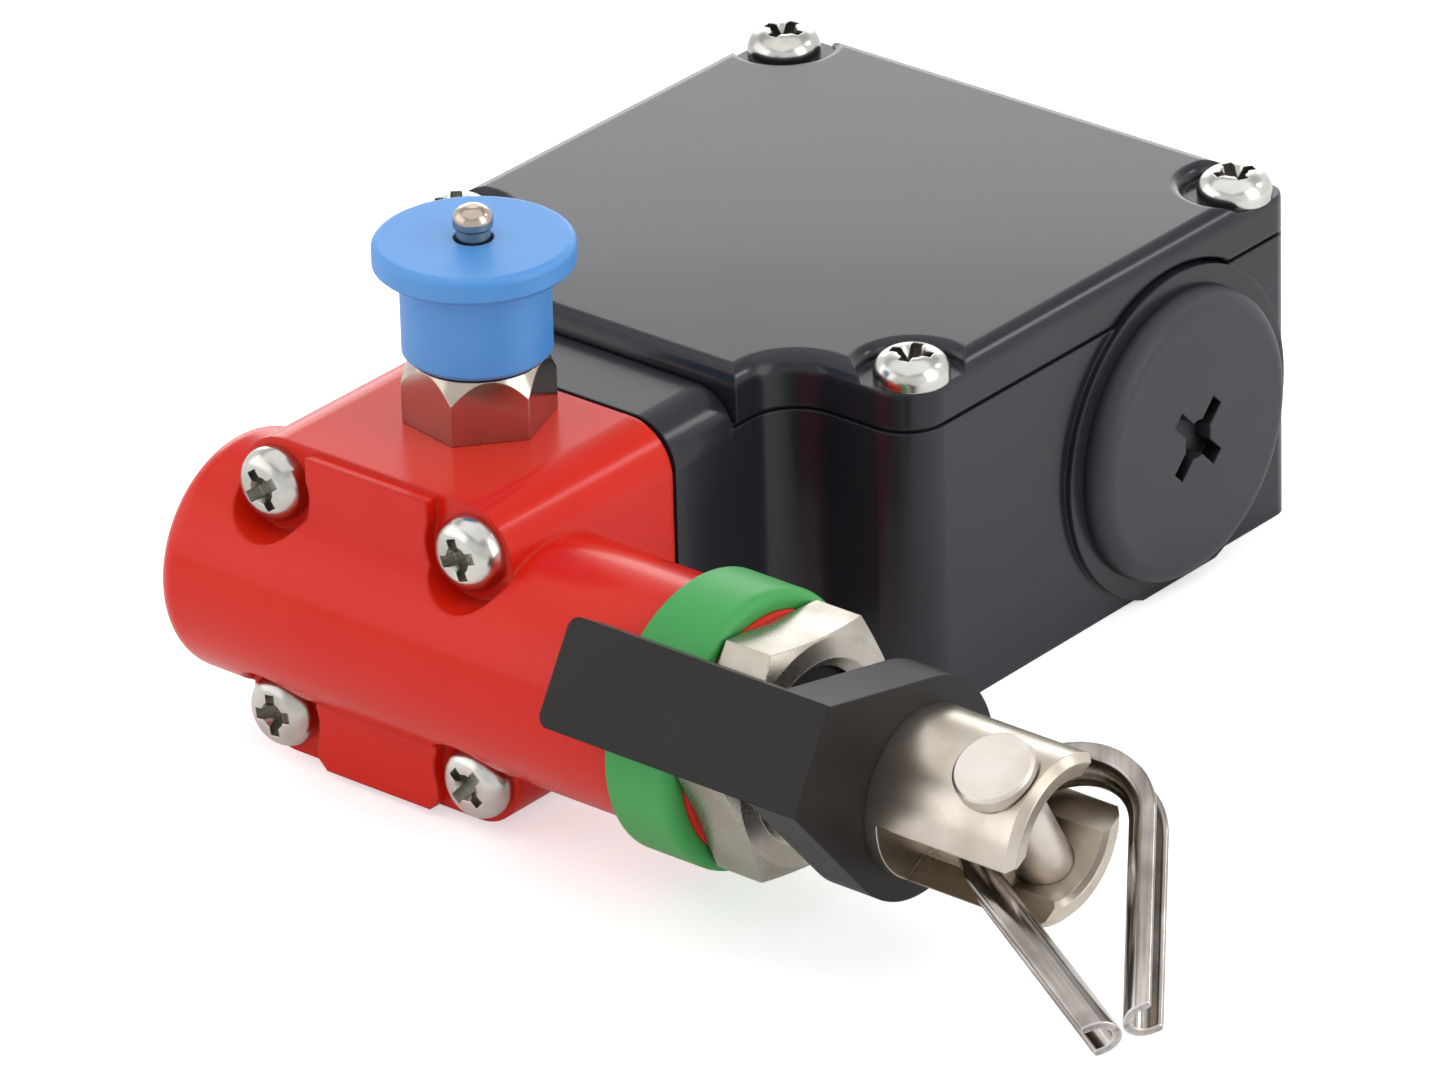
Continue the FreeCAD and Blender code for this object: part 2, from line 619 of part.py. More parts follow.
def prism(outline, low, high):
    points = [V(float(x), float(y), float(low)) for x, y in outline]
    face = Part.Face(Part.makePolygon(points + points[:1]))
    return face.extrude(V(0, 0, float(high) - float(low)))


def entry_disc(extra, depth_in):
    """Both side discs as cutters, wider by extra."""
    w = float(S["body_half_w"])
    y, z = float(S["entry_y"]), float(S["entry_z"])
    radius = float(S["entry_boss_r"]) + extra
    shapes = []
    for sign in (1, -1):
        shapes.append(cylinder(radius, (sign * (w - depth_in), y, z), (sign * (w + 3), y, z)))
    return shapes


def make_cover_gasket():
    low = S["seam"]
    high = S["seam"] + S["gasket_t"]
    ring = rim_solid(S["gasket_set"], low, high).cut(prism(cavity_outline(), float(low) - 1, float(high) + 1))
    for x, y in post_places():
        ring = ring.fuse(cylinder(float(S["post_r"]) - 0.2, (x, y, low), (x, y, high)))
    for x, y in post_places():
        ring = ring.cut(cylinder(S["screw_hole_r"], (x, y, float(low) - 1), (x, y, float(high) + 1)))
    for disc in entry_disc(0.3, 1.9):
        ring = ring.cut(disc)
    neck = float(S["neck_back"])
    wide = float(S["body_half_w"])
    ring = ring.cut(Part.makeBox(2 * wide, 10, 10, V(-wide, neck - 10 + 0.3, float(low) - 5)))
    return plain("cover_gasket", ring.removeSplitter())


def pocket_cutter(x, y):
    """Round recess with a rounded mouth, open towards the sides of the cover."""
    r = float(S["pocket_r"])
    c = float(S["pocket_round"])
    seat = float(S["screw_seat"])
    top = float(S["cover_top"])
    bend = c * (1 - math.sqrt(0.5))
    arc = Part.Arc(V(r, 0, top - c), V(r + bend, 0, top - bend), V(r + c, 0, top)).toShape()
    corners = [V(r + c, 0, top), V(r + c, 0, top + 5), V(0, 0, top + 5), V(0, 0, seat), V(r, 0, seat),
               V(r, 0, top - c)]
    wire = Part.Wire([arc] + Part.makePolygon(corners).Edges)
    solid = Part.Face(wire).revolve(V(0, 0, 0), UP, 360)
    solid.translate(V(float(x), float(y), 0))
    return solid


def make_cover():
    low = float(S["seam"]) + float(S["gasket_t"])
    top = float(S["cover_top"])
    wall = float(S["cover_wall"])
    solid = rim_solid(0, low, top)
    neck = float(S["neck_back"]) + 0.35
    wide = float(S["body_half_w"])
    solid = solid.cut(Part.makeBox(2 * wide, 20, 20, V(-wide, neck - 20, low - 5)))
    edges = [edge for edge in solid.Edges if near(middle(edge).z, top)]
    solid = solid.makeFillet(float(S["cover_round"]), edges)
    inside = rim_solid(wall, low - 1, top - wall)
    inside = inside.cut(Part.makeBox(2 * wide, 20, 20, V(-wide, neck + wall - 20, low - 5)))
    solid = solid.cut(inside)
    seat = float(S["screw_seat"])
    posts = [cylinder(S["post_r"], (x, y, low), (x, y, seat)) for x, y in post_places()]
    solid = solid.fuse(posts)
    for x, y in post_places():
        solid = solid.cut(cylinder(S["screw_hole_r"], (x, y, low - 1), (x, y, top + 1)))
        solid = solid.cut(pocket_cutter(x, y))
    for disc in entry_disc(0.5, 2.0):
        solid = solid.cut(disc)
    return plain("cover", solid.removeSplitter())


def make_screw(name, length):
    """Pan head machine screw with a cross recess, seat at its origin, head up."""
    body = new_body(name)
    r = S["screw_r"]
    head = S["screw_head_r"]
    h = S["screw_head_h"]
    profile = [(0, -length), (r - 0.4, -length), (r, -length + 0.5), (r, 0), (head, 0), (head, h), (0, h)]
    turn_profile(body, "turned", profile)
    soften(body, "dome", S["screw_dome"], rim_at(h, head))
    low = h - S["recess_depth"]
    arms = cross(S["recess_half"], S["recess_arm"])
    extrude(body, "recess", "XY_Plane", low, 3, cut=True, outline=arms)
    mouth = S["recess_mouth"]
    cone = [(0, low), (0.5, low), (mouth, h), (mouth, h + 1), (0, h + 1)]
    turn_profile(body, "centre", cone, cut=True)
    doc.recompute()
    return body


def make_cover_screws(master):
    places = []
    for i, (x, y) in enumerate(post_places()):
        spin = FreeCAD.Rotation(UP, (18, 62, 40, 5)[i])
        places.append(FreeCAD.Placement(V(float(x), float(y), float(S["screw_seat"])), spin))
    return copies("cover_screws", master, places)


def make_plug(name, sign):
    face = S["body_half_w"] + S["entry_boss_out"]
    turn = TO_X if sign > 0 else TO_MINUS_X
    body = new_body(name, (sign * face, S["entry_y"], S["entry_z"]), turn)
    r = S["entry_r"] - S["fit_gap"]
    t = S["plug_t"]
    f = S["plug_r"]
    end = -S["plug_len"]
    hollow = r - S["plug_wall"]
    profile = [(0, -1.5), (hollow, -1.5), (hollow, end), (r - 0.6, end), (r, end + 0.8), (r, -2.2),
               (r - 0.9, -1.9), (r - 0.9, 0), (f, 0), (f, t), (0, t)]
    turn_profile(body, "turned", profile)
    soften(body, "flange_round", S["plug_round"], rim_at(t, f))
    arms = diagonal(cross(S["plug_cross"], S["plug_arm"]))
    low = t - S["plug_recess"]
    extrude(body, "recess", "XY_Plane", low, 4, cut=True, outline=arms)
    extrude(body, "centre", "XY_Plane", low, 4, cut=True, circles=[(0, 0, S["plug_centre"])])
    return body


def make_plug_seals():
    """Rubber rings under the plug flanges, set in the undercut of the spigot."""
    rings = []
    face = float(S["body_half_w"] + S["entry_boss_out"])
    r = float(S["entry_r"]) - 0.45
    for sign in (1, -1):
        centre = V(sign * (face - 1.0), float(S["entry_y"]), float(S["entry_z"]))
        rings.append(Part.makeTorus(r - 0.02, 0.4, centre, V(1, 0, 0)))
    return plain("plug_seals", Part.makeCompound(rings))


# Operating head


def head_screw_places():
    return [(sx * S["head_screw_x"], S["axis_z"] + sz * S["head_screw_z"])
            for sx in (1, -1) for sz in (1, -1)]


def make_head_casing():
    body = new_body("head_casing")
    n = S["neck_half_w"]
    seat = S["head_seat"]
    bottom = S["head_bottom"]
    back = S["neck_face"] - S["gasket_t"]
    block = rectangle(-n, bottom, n, S["neck_top"])
    extrude(body, "block", "XZ_Plane", seat, back - seat, outline=block)
    soften(body, "block_round", S["head_round"], lambda edge: runs_along(edge, V(0, 1, 0)))
    rib = S["rib_half_w"]
    bevel = S["rib_bevel"]
    top = S["neck_top"] - S["rib_low"]
    ribs = [(-rib, bottom + bevel), (bevel - rib, bottom), (rib - bevel, bottom), (rib, bottom + bevel),
            (rib, top), (-rib, top)]
    extrude(body, "ribs", "XZ_Plane", S["head_front"], seat - S["head_front"] + 2, outline=ribs)
    left = S["barrel_left"]
    right = S["barrel_right"]
    barrel = [(S["axis_y"], S["axis_z"], S["barrel_r"])]
    extrude(body, "barrel", "YZ_Plane", left, right - left, circles=barrel)
    soften(body, "end_round", S["barrel_round"], lambda edge: is_circle(edge) and near(middle(edge).x, left))
    tube = [(S["axis_y"], S["axis_z"], S["tube_r"])]
    extrude(body, "tube", "YZ_Plane", right - 2, S["tube_len"] + 2, circles=tube)
    scallops = [(x, z, S["scallop_r"]) for x, z in head_screw_places()]
    extrude(body, "scallops", "XZ_Plane", seat - 20, 20, cut=True, circles=scallops)
    holes = [(x, z, S["screw_hole_r"]) for x, z in head_screw_places()]
    extrude(body, "screw_holes", "XZ_Plane", seat - 1, back - seat + 2, cut=True, circles=holes)
    bore = [(S["axis_y"], S["axis_z"], S["bore_r"])]
    start = S["bore_left"]
    extrude(body, "bore", "YZ_Plane", start, S["tube_end"] - start + 1, cut=True, circles=bore)
    channel = [(0, S["axis_z"], S["channel_r"])]
    extrude(body, "channel", "XZ_Plane", S["axis_y"], S["axis_out"] + 5, cut=True, circles=channel)
    guide = [(0, S["axis_z"], S["guide_r"] + S["fit_gap"])]
    start = back - S["guide_len"]
    extrude(body, "guide_seat", "XZ_Plane", start, S["guide_len"] + 5, cut=True, circles=guide)
    bore_reset(body)
    return body


def bore_reset(body):
    """Thread, spring chamber and stem passage of the reset knob."""
    y = S["reset_y"]
    thread = [(0, y, S["reset_thread_r"] + S["fit_gap"])]
    extrude(body, "reset_thread", "XY_Plane", S["reset_spigot"], 20, cut=True, circles=thread)
    chamber = [(0, y, S["reset_bore_r"])]
    extrude(body, "reset_chamber", "XY_Plane", S["reset_chamber_low"], 20, cut=True, circles=chamber)
    passage = [(0, y, S["stem_r"] + S["run_gap"])]
    extrude(body, "reset_passage", "XY_Plane", S["axis_z"], 20, cut=True, circles=passage)


def make_head_gasket():
    body = new_body("head_gasket")
    n = S["neck_half_w"] - S["gasket_set"]
    low = S["head_bottom"] + S["gasket_set"]
    high = S["neck_top"] - S["gasket_set"]
    start = S["neck_face"] - S["gasket_t"]
    extrude(body, "sheet", "XZ_Plane", start, S["gasket_t"], outline=rectangle(-n, low, n, high))
    soften(body, "round", S["head_round"], lambda edge: runs_along(edge, V(0, 1, 0)))
    holes = [(x, z, S["screw_hole_r"]) for x, z in head_screw_places()]
    holes.append((0, S["axis_z"], S["channel_r"]))
    extrude(body, "holes", "XZ_Plane", start - 1, 3, cut=True, circles=holes)
    return body


def make_head_screws(master):
    places = []
    for i, (x, z) in enumerate(head_screw_places()):
        spin = TO_MINUS_Y.multiply(FreeCAD.Rotation(UP, (20, 50, 35, 8)[i]))
        places.append(FreeCAD.Placement(V(float(x), float(S["head_seat"]), float(z)), spin))
    return copies("head_screws", master, places)


AXIS = (0, S["axis_y"], S["axis_z"])


def make_tension_ring():
    body = new_body("tension_ring", AXIS, TO_X)
    r = S["ring_r"]
    hole = S["tube_r"] + S["fit_gap"]
    low = S["barrel_right"]
    high = S["tube_end"] - S["ring_short"]
    turn_profile(body, "turned", [(hole, low), (r, low), (r, high), (hole, high)])
    soften(body, "rim_round", S["ring_round"], rim_at(high, r))
    return body


def make_end_bush():
    turn = TO_X.multiply(FreeCAD.Rotation(UP, float(S["bush_turn"])))
    body = new_body("end_bush", AXIS, turn)
    low = S["tube_end"]
    high = S["bush_end"]
    inner = S["bush_low"]
    seal = S["seal_r"]
    extrude(body, "hexagon", "XY_Plane", low, S["bush_hex"], outline=hexagon(S["bush_af"]))
    r = S["bore_r"] - S["fit_gap"]
    extrude(body, "spigot", "XY_Plane", inner, S["bush_spigot"] + 1, circles=[(0, 0, r)])
    tip = S["bush_af"] * 0.57735
    flat = S["bush_af"] * 0.5
    corner = [(flat - 0.2, high), (tip + 1, high - 1.2), (tip + 1, high + 2), (flat - 0.2, high + 2)]
    turn_profile(body, "chamfer", corner, cut=True)
    bore = [(0, 0, S["shaft_r"] + S["run_gap"])]
    extrude(body, "bore", "XY_Plane", inner - 1, high - inner + 2, cut=True, circles=bore)
    extrude(body, "seal_seat", "XY_Plane", high - 4, 10, cut=True, circles=[(0, 0, seal)])
    mouth = [(0, high - 1.2), (seal, high - 1.2), (seal + 1.2, high), (seal + 1.2, high + 2), (0, high + 2)]
    turn_profile(body, "mouth", mouth, cut=True)
    return body


def make_shaft_wiper():
    body = new_body("shaft_wiper", AXIS, TO_X)
    low = S["bush_end"] - 4
    r = S["shaft_r"] + S["run_gap"]
    out = S["seal_r"] - S["run_gap"]
    profile = [(r, low), (out, low), (out, low + 2), (r + 1.55, low + 2), (r + 0.65, low + 2.9),
               (r, low + 2.9)]
    turn_profile(body, "turned", profile)
    return body


def make_pull_shaft():
    body = new_body("pull_shaft", AXIS, TO_X)
    r = S["shaft_r"]
    k = S["cam_slope"]
    cam = S["cam_low_r"]
    piston = S["piston_r"]
    thread = S["shaft_thread_r"]
    clip = S["clip_x"]
    land = S["bore_left"] + 0.8
    root = land + 3
    end = S["fork_floor"] - 0.3
    profile = [(0, land), (piston - 0.6, land), (piston, land + 0.6), (piston, root),
               (cam - k * root, root), (cam - k, clip - 6), (cam - k, clip - 3), (r, clip - 2), (r, clip),
               (r - 0.6, clip), (r - 0.6, clip + 1), (r, clip + 1), (r, S["pointer_back"]),
               (thread, S["pointer_back"]), (thread, end), (0, end)]
    turn_profile(body, "turned", profile)
    return body


def make_shaft_circlip():
    body = new_body("shaft_circlip", AXIS, TO_X)
    r = S["shaft_r"]
    low = S["clip_x"] + 0.02
    high = low + 0.96
    turn_profile(body, "turned", [(r - 0.58, low), (r + 2.0, low), (r + 2.0, high), (r - 0.58, high)])
    extrude(body, "gap", "XY_Plane", low - 1, 4, cut=True, outline=rectangle(-1.4, 0, 1.4, r + 7))
    return body


def make_spring_seat():
    body = new_body("spring_seat", AXIS, TO_X)
    r = S["shaft_r"] + 0.04
    out = S["bore_r"] - 0.35
    low = S["clip_x"] + 1
    high = low + S["spring_seat_t"]
    turn_profile(body, "turned", [(r, low), (out, low), (out, high), (r, high)])
    return body


def coil(mean_r, wire_r, length, turns):
    """Round wire spring along +Z from 0 to length with ground ends."""
    pitch = (length - 2 * wire_r) / turns
    total = length + 2 * pitch
    helix = Part.makeHelix(pitch, total, mean_r)
    circle = Part.Wire(Part.Circle(V(mean_r, 0, 0), V(0, 1, 0), wire_r).toShape())
    solid = Part.Wire(helix).makePipeShell([circle], True, True)
    solid.translate(V(0, 0, -pitch))
    keep = Part.makeCylinder(mean_r + 2 * wire_r, length)
    return solid.common(keep)


def make_spring(name, mean_r, wire_r, turns, start, end):
    start = V(*[float(v) for v in start])
    end = V(*[float(v) for v in end])
    axis = end - start
    shape = coil(mean_r, wire_r, axis.Length, turns)
    return plain(name, shape, FreeCAD.Placement(start, FreeCAD.Rotation(V(0, 0, 1), axis)))


def make_pointer():
    body = new_body("tension_pointer", AXIS, radial(S["pointer_angle"]))
    r = S["pointer_r"]
    w = S["pointer_half_w"]
    back = S["pointer_back"]
    depth = S["pointer_t"]
    extrude(body, "hub", "XY_Plane", back, depth, circles=[(0, 0, r)])
    wedge = [(w, S["pointer_top"]), (-w, S["pointer_top"]), (-r * 0.9466, r * 0.3226),
             (0, 0), (r * 0.9466, r * 0.3226)]
    extrude(body, "wedge", "XY_Plane", back, depth, outline=wedge)
    blade = rectangle(-w, S["pointer_under"], w, S["pointer_top"])
    extrude(body, "blade", "XY_Plane", S["pointer_tip"], back - S["pointer_tip"] + 1, outline=blade)

    def tip_corner(edge):
        return runs_along(edge, V(0, 1, 0)) and near(middle(edge).z, S["pointer_tip"])
    soften(body, "tip_round", S["pointer_corner"], tip_corner)
    bore = [(0, 0, S["shaft_thread_r"] + S["fit_gap"])]
    extrude(body, "bore", "XY_Plane", back - 1, depth + 2, cut=True, circles=bore)
    return body


def make_fork():
    body = new_body("rope_fork", AXIS, radial(S["fork_angle"]))
    r = S["fork_r"]
    low = S["pointer_front"]
    high = S["fork_end"]
    floor = S["fork_floor"]
    bore = S["fork_bore_r"]
    c = S["fork_round"]
    thread = S["shaft_thread_r"] + S["fit_gap"]
    profile = [(thread, low), (r, low), (r, high - c), (r - c, high), (bore + 0.6, high),
               (bore, high - 0.6), (bore, floor), (thread, floor)]
    turn_profile(body, "turned", profile)
    half = S["fork_slot"] * 0.5
    slot = rectangle(-r - 5, -half, r + 5, half)
    extrude(body, "slot", "XY_Plane", floor, high - floor + 5, cut=True, outline=slot)
    pin = [(0, S["fork_pin_x"], S["fork_pin_r"] + S["fit_gap"])]
    extrude(body, "pin_hole", "XZ_Plane", -r - 5, r * 2 + 10, cut=True, circles=pin)
    spot = [(0, S["fork_pin_x"], S["fork_pin_head_r"] + 0.15)]
    extrude(body, "spot_face", "XZ_Plane", r - S["fork_spot"], 10, cut=True, circles=spot)
    return body


def make_fork_pin():
    outward = radial(S["fork_angle"]).multVec(V(0, 1, 0))
    turn = FreeCAD.Rotation(V(0, 0, 1), outward)
    body = new_body("fork_pin", (S["fork_pin_x"], S["axis_y"], S["axis_z"]), turn)
    r = S["fork_pin_r"]
    head = S["fork_pin_head_r"]
    low = S["fork_r"] - S["fork_spot"]
    top = low + S["fork_pin_head_h"]
    foot = -S["fork_r"] - 0.6
    profile = [(0, foot), (r - 0.5, foot), (r, foot + 0.5), (r, low), (head, low), (head, top - 0.3),
               (head - 0.3, top), (0, top)]
    turn_profile(body, "turned", profile)
    return body


def gutter_section():
    """Section of the thimble through its crown: X runs outwards, Z across the gutter."""
    half = float(S["eye_w"]) / 2
    t = float(S["eye_t"])
    centre = float(S["eye_in"]) + half
    brim = float(S["eye_in"]) + float(S["eye_deep"]) - t / 2
    thin = half - t

    def arc(a, b, c):
        return Part.Arc(V(a[0], 0, a[1]), V(b[0], 0, b[1]), V(c[0], 0, c[1])).toShape()

    def line(a, b):
        return Part.makeLine(V(a[0], 0, a[1]), V(b[0], 0, b[1]))
    edges = [
        line((brim, -half), (centre, -half)),
        arc((centre, -half), (centre - half, 0), (centre, half)),
        line((centre, half), (brim, half)),
        arc((brim, half), (brim + t / 2, half - t / 2), (brim, thin)),
        line((brim, thin), (centre, thin)),
        arc((centre, thin), (centre - thin, 0), (centre, -thin)),
        line((centre, -thin), (brim, -thin)),
        arc((brim, -thin), (brim + t / 2, t / 2 - half), (brim, -half)),
    ]
    return Part.Face(Part.Wire(edges))


def make_thimble():
    """Half-round gutter bent round the crown, with two arms that meet at the rope."""
    a = float(S["eye_half_angle"])
    sine = math.sin(math.radians(a))
    cosine = math.cos(math.radians(a))
    end = (float(S["eye_in"]) - float(S["eye_tip_gap"]) * cosine) / sine
    reach = end / cosine + 5
    upper = gutter_section()
    upper.rotate(V(0, 0, 0), UP, 90 - a)
    lower = gutter_section()
    lower.rotate(V(0, 0, 0), UP, a - 90)
    crown = upper.revolve(V(0, 0, 0), UP, 180 + 2 * a)
    arms = [upper.extrude(V(cosine, -sine, 0) * reach), lower.extrude(V(cosine, sine, 0) * reach)]
    beyond = Part.makeBox(60, 80, 40, V(end, -40, -20))
    arms = [arm.cut(beyond) for arm in arms]
    band = crown.fuse(arms).removeSplitter()
    outward = radial(S["fork_angle"]).multVec(V(0, 1, 0))
    rest = FreeCAD.Rotation(outward, -float(S["eye_rest"]))
    along = rest.multVec(V(1, 0, 0))
    turn = FreeCAD.Rotation(along, outward.cross(along), outward, "ZXY")
    pin = V(float(S["fork_pin_x"]), float(S["axis_y"]), float(S["axis_z"]))
    lean = FreeCAD.Rotation(outward, float(S["eye_lean"])).multVec(V(1, 0, 0))
    place = lean * float(S["eye_offset"]) + outward * float(S["eye_shift"])
    return plain("rope_thimble", band, FreeCAD.Placement(pin + place, turn))


# Plunger and reset


def make_cam_plunger():
    """The ball end rests on the cam cone of the shaft; a notch takes the reset stem."""
    r = float(S["plunger_r"])
    slope = float(S["cam_slope"])
    lift = float(S["cam_low_r"]) + (r + 0.05) * math.sqrt(1 + slope * slope)
    y = float(S["axis_y"]) + lift
    z = float(S["axis_z"])
    rod = cylinder(r, (0, y, z), (0, S["plunger_end"], z))
    rod = rod.fuse(Part.makeSphere(r, V(0, y, z))).removeSplitter()
    notch = float(S["reset_y"]) - 2.0
    rod = rod.cut(Part.makeBox(10, 2.4, 10, V(-5, notch - 1.2, z + r - 1.0)))
    return plain("cam_plunger", rod)


def make_plunger_guide():
    body = new_body("plunger_guide", (0, S["neck_face"] - S["gasket_t"], S["axis_z"]), TO_MINUS_Y)
    r = S["plunger_r"] + S["run_gap"]
    turn_profile(body, "turned", [(r, 0), (S["guide_r"], 0), (S["guide_r"], S["guide_len"]),
                                  (r + 0.6, S["guide_len"]), (r, S["guide_len"] - 0.6)])
    return body


RESET = (0, S["reset_y"], 0)


def make_reset_nut():
    body = new_body("reset_nut", RESET, FreeCAD.Rotation(UP, float(S["reset_nut_turn"])))
    low = S["neck_top"]
    high = S["reset_nut_top"]
    foot = S["reset_spigot"]
    extrude(body, "hexagon", "XY_Plane", low, S["reset_nut_h"], outline=hexagon(S["reset_nut_af"]))
    spigot = [(0, 0, S["reset_thread_r"])]
    extrude(body, "spigot", "XY_Plane", foot, S["reset_spigot_len"] + 1, circles=spigot)
    tip = S["reset_nut_af"] * 0.57735
    flat = S["reset_nut_af"] * 0.5
    corner = [(flat, high), (tip + 1, high - 4.6), (tip + 1, high + 2), (flat, high + 2)]
    turn_profile(body, "chamfer", corner, cut=True)
    chamber = [(0, 0, S["reset_bore_r"])]
    deep = S["reset_chamber_top"] - foot + 1
    extrude(body, "chamber", "XY_Plane", foot - 1, deep, cut=True, circles=chamber)
    bore = [(0, 0, S["stem_r"] + S["run_gap"])]
    extrude(body, "bore", "XY_Plane", foot - 1, high - foot + 2, cut=True, circles=bore)
    return body


def make_reset_stem():
    body = new_body("reset_stem", RESET)
    r = S["stem_r"]
    neck = r - 0.3
    tip = r * 0.5
    foot = S["stem_low"]
    top = S["stem_top"]
    sunk = S["knob_top"] - 0.6
    head = top - S["stem_rise"] * 0.6
    clip = S["clip_z"]
    profile = [(0, foot), (tip - 0.2, foot), (tip, foot + 0.2), (tip, foot + 1.8), (r, foot + 2.6),
               (r, clip), (r - 0.5, clip), (r - 0.5, clip + 0.8), (r, clip + 0.8), (r, sunk),
               (neck, sunk), (neck, head - 0.3), (r, head), (r, top), (0, top)]
    turn_profile(body, "turned", profile)
    soften(body, "dome", S["stem_dome"], rim_at(top, r))
    return body


def make_stem_clip():
    body = new_body("stem_clip", RESET)
    r = S["stem_r"]
    clip = S["clip_z"]
    turn_profile(body, "turned", [(r - 0.48, clip + 0.02), (3.7, clip + 0.02), (3.7, clip + 0.78),
                                  (r - 0.48, clip + 0.78)])
    extrude(body, "gap", "XY_Plane", clip - 1, 4, cut=True, outline=rectangle(-0.9, 0, 0.9, 8))
    return body


def make_reset_knob():
    body = new_body("reset_knob", RESET)
    r = S["knob_r"]
    f = S["knob_flange_r"]
    low = S["knob_low"]
    under = S["knob_flange_z"]
    top = S["knob_top"]
    hole = S["stem_r"] + 0.02
    profile = [(hole, low), (r - 0.5, low), (r, low + 0.5), (r, under), (f - 0.4, under),
               (f, under + 0.4), (f, top), (hole, top)]
    turn_profile(body, "turned", profile)
    soften(body, "rim_round", S["knob_round"], rim_at(top, f))
    return body


# Contact block


def block_screw_places():
    return [(side * S["block_screw_x"], S["block_screw_y"]) for side in (1, -1)]


def terminal_places():
    return [(side * S["block_screw_x"], y) for side in (1, -1) for y in (S["terminal_a"], S["terminal_b"])]


def make_contact_base():
    body = new_body("contact_base")
    w = S["block_half_w"]
    slide = S["slide_half_w"]
    front = S["block_front"]
    end = S["block_end"]
    low = S["foot_top"] - 2
    rise = S["block_top"] - low
    stop = front + S["block_side_len"]
    foot = rectangle(-w, front, w, end)
    extrude(body, "foot", "XY_Plane", S["wall_floor"], S["block_foot_h"], outline=foot)
    right = rectangle(slide, front + 0.2, w, stop)
    extrude(body, "side_right", "XY_Plane", low, rise, outline=right)
    left = rectangle(-w, front + 0.2, -slide, stop)
    extrude(body, "side_left", "XY_Plane", low, rise, outline=left)
    wall = rectangle(0.6 - slide, end - S["block_end_t"], slide - 0.6, end)
    extrude(body, "end_wall", "XY_Plane", low, rise + 3, outline=wall)
    screws = [(x, y, S["small_screw_r"] + 0.23) for x, y in block_screw_places()]
    extrude(body, "screw_holes", "XY_Plane", S["wall_floor"] - 1, 30, cut=True, circles=screws)
    room = [(x, y, S["small_head_r"] + 0.2) for x, y in block_screw_places()]
    extrude(body, "head_room", "XY_Plane", S["block_seat"], 30, cut=True, circles=room)
    tapped = [(x, y, S["small_screw_r"] + S["fit_gap"]) for x, y in terminal_places()]
    start = S["block_top"] - S["terminal_len"] - 1
    extrude(body, "terminal_holes", "XY_Plane", start, 20, cut=True, circles=tapped)
    boss = [(0, S["axis_z"], S["carriage_boss_r"])]
    extrude(body, "spring_boss", "XZ_Plane", end - S["block_end_t"] - 2.8, 4, circles=boss)
    return body


def make_contact_carriage():
    body = new_body("contact_carriage")
    start = S["plunger_end"]
    w = S["carriage_half_w"]
    low = S["foot_top"] + 0.6
    top = S["block_top"] + 6
    z = S["axis_z"]
    slider = rectangle(-w, low, w, top)
    extrude(body, "slider", "XZ_Plane", start + 4, S["carriage_len"] - 4, outline=slider)
    nose = rectangle(0.5 - w, z - 4, w - 0.5, z + 4)
    extrude(body, "nose", "XZ_Plane", start, 5, outline=nose)
    window = rectangle(-w - 1, top - 4, w + 1, top - 0.6)
    t = S["strip_t"]
    extrude(body, "window_a", "XZ_Plane", S["bridge_a"], t, cut=True, outline=window)
    extrude(body, "window_b", "XZ_Plane", S["bridge_b"], t, cut=True, outline=window)
    hole = start + S["carriage_len"] - S["carriage_spring_deep"]
    spring = [(0, z, S["carriage_boss_r"] * 2)]
    extrude(body, "spring_hole", "XZ_Plane", hole, 10, cut=True, circles=spring)
    return body


def make_contact_bridges():
    """Moving strips with a button at each end."""
    x = float(S["block_half_w"]) - 6
    top = float(S["block_top"])
    t = float(S["strip_t"])
    strips = []
    for y, step in ((float(S["bridge_a"]), -0.25), (float(S["bridge_b"]), 0.25)):
        low = y + 0.02
        strip = Part.makeBox(2 * x, t - 0.04, 3.36, V(-x, low, top + 2.02))
        face = low if step < 0 else low + t - 0.04
        for side in (1, -1):
            button = side * (x - 1.7)
            strip = strip.fuse(cylinder(1.2, (button, face, top + 3.7), (button, face + step, top + 3.7)))
        strips.append(strip.removeSplitter())
    return plain("contact_bridges", Part.makeCompound(strips))


def fixed_contact(side, face, step, hole_y):
    """Angled terminal plate with a button that faces a bridge at y = face."""
    w = float(S["block_half_w"])
    top = float(S["block_top"])
    t = float(S["strip_t"])
    inner = w - 8.9
    long = 7.35
    x = inner if side > 0 else -w
    y = face - long if step > 0 else face
    plate = Part.makeBox(w - inner, long, t, V(x, y, top))
    x = inner if side > 0 else -inner - 2.6
    y = face - t if step > 0 else face
    upright = Part.makeBox(2.6, t, 4.6, V(x, y, top))
    x = side * (inner + 1.2)
    button = cylinder(1.2, (x, face, top + 3.7), (x, face + step * 0.25, top + 3.7))
    x = side * float(S["block_screw_x"])
    hole = cylinder(1.6, (x, hole_y, top - 2), (x, hole_y, top + 4))
    return plate.fuse([upright, button]).cut(hole).removeSplitter()


def make_fixed_contacts():
    near_face = float(S["bridge_a"]) - 0.55
    far_face = float(S["bridge_b"]) + 3.35
    plates = []
    for side in (1, -1):
        plates.append(fixed_contact(side, near_face, 1, S["terminal_a"]))
        plates.append(fixed_contact(side, far_face, -1, S["terminal_b"]))
    return plain("fixed_contacts", Part.makeCompound(plates))


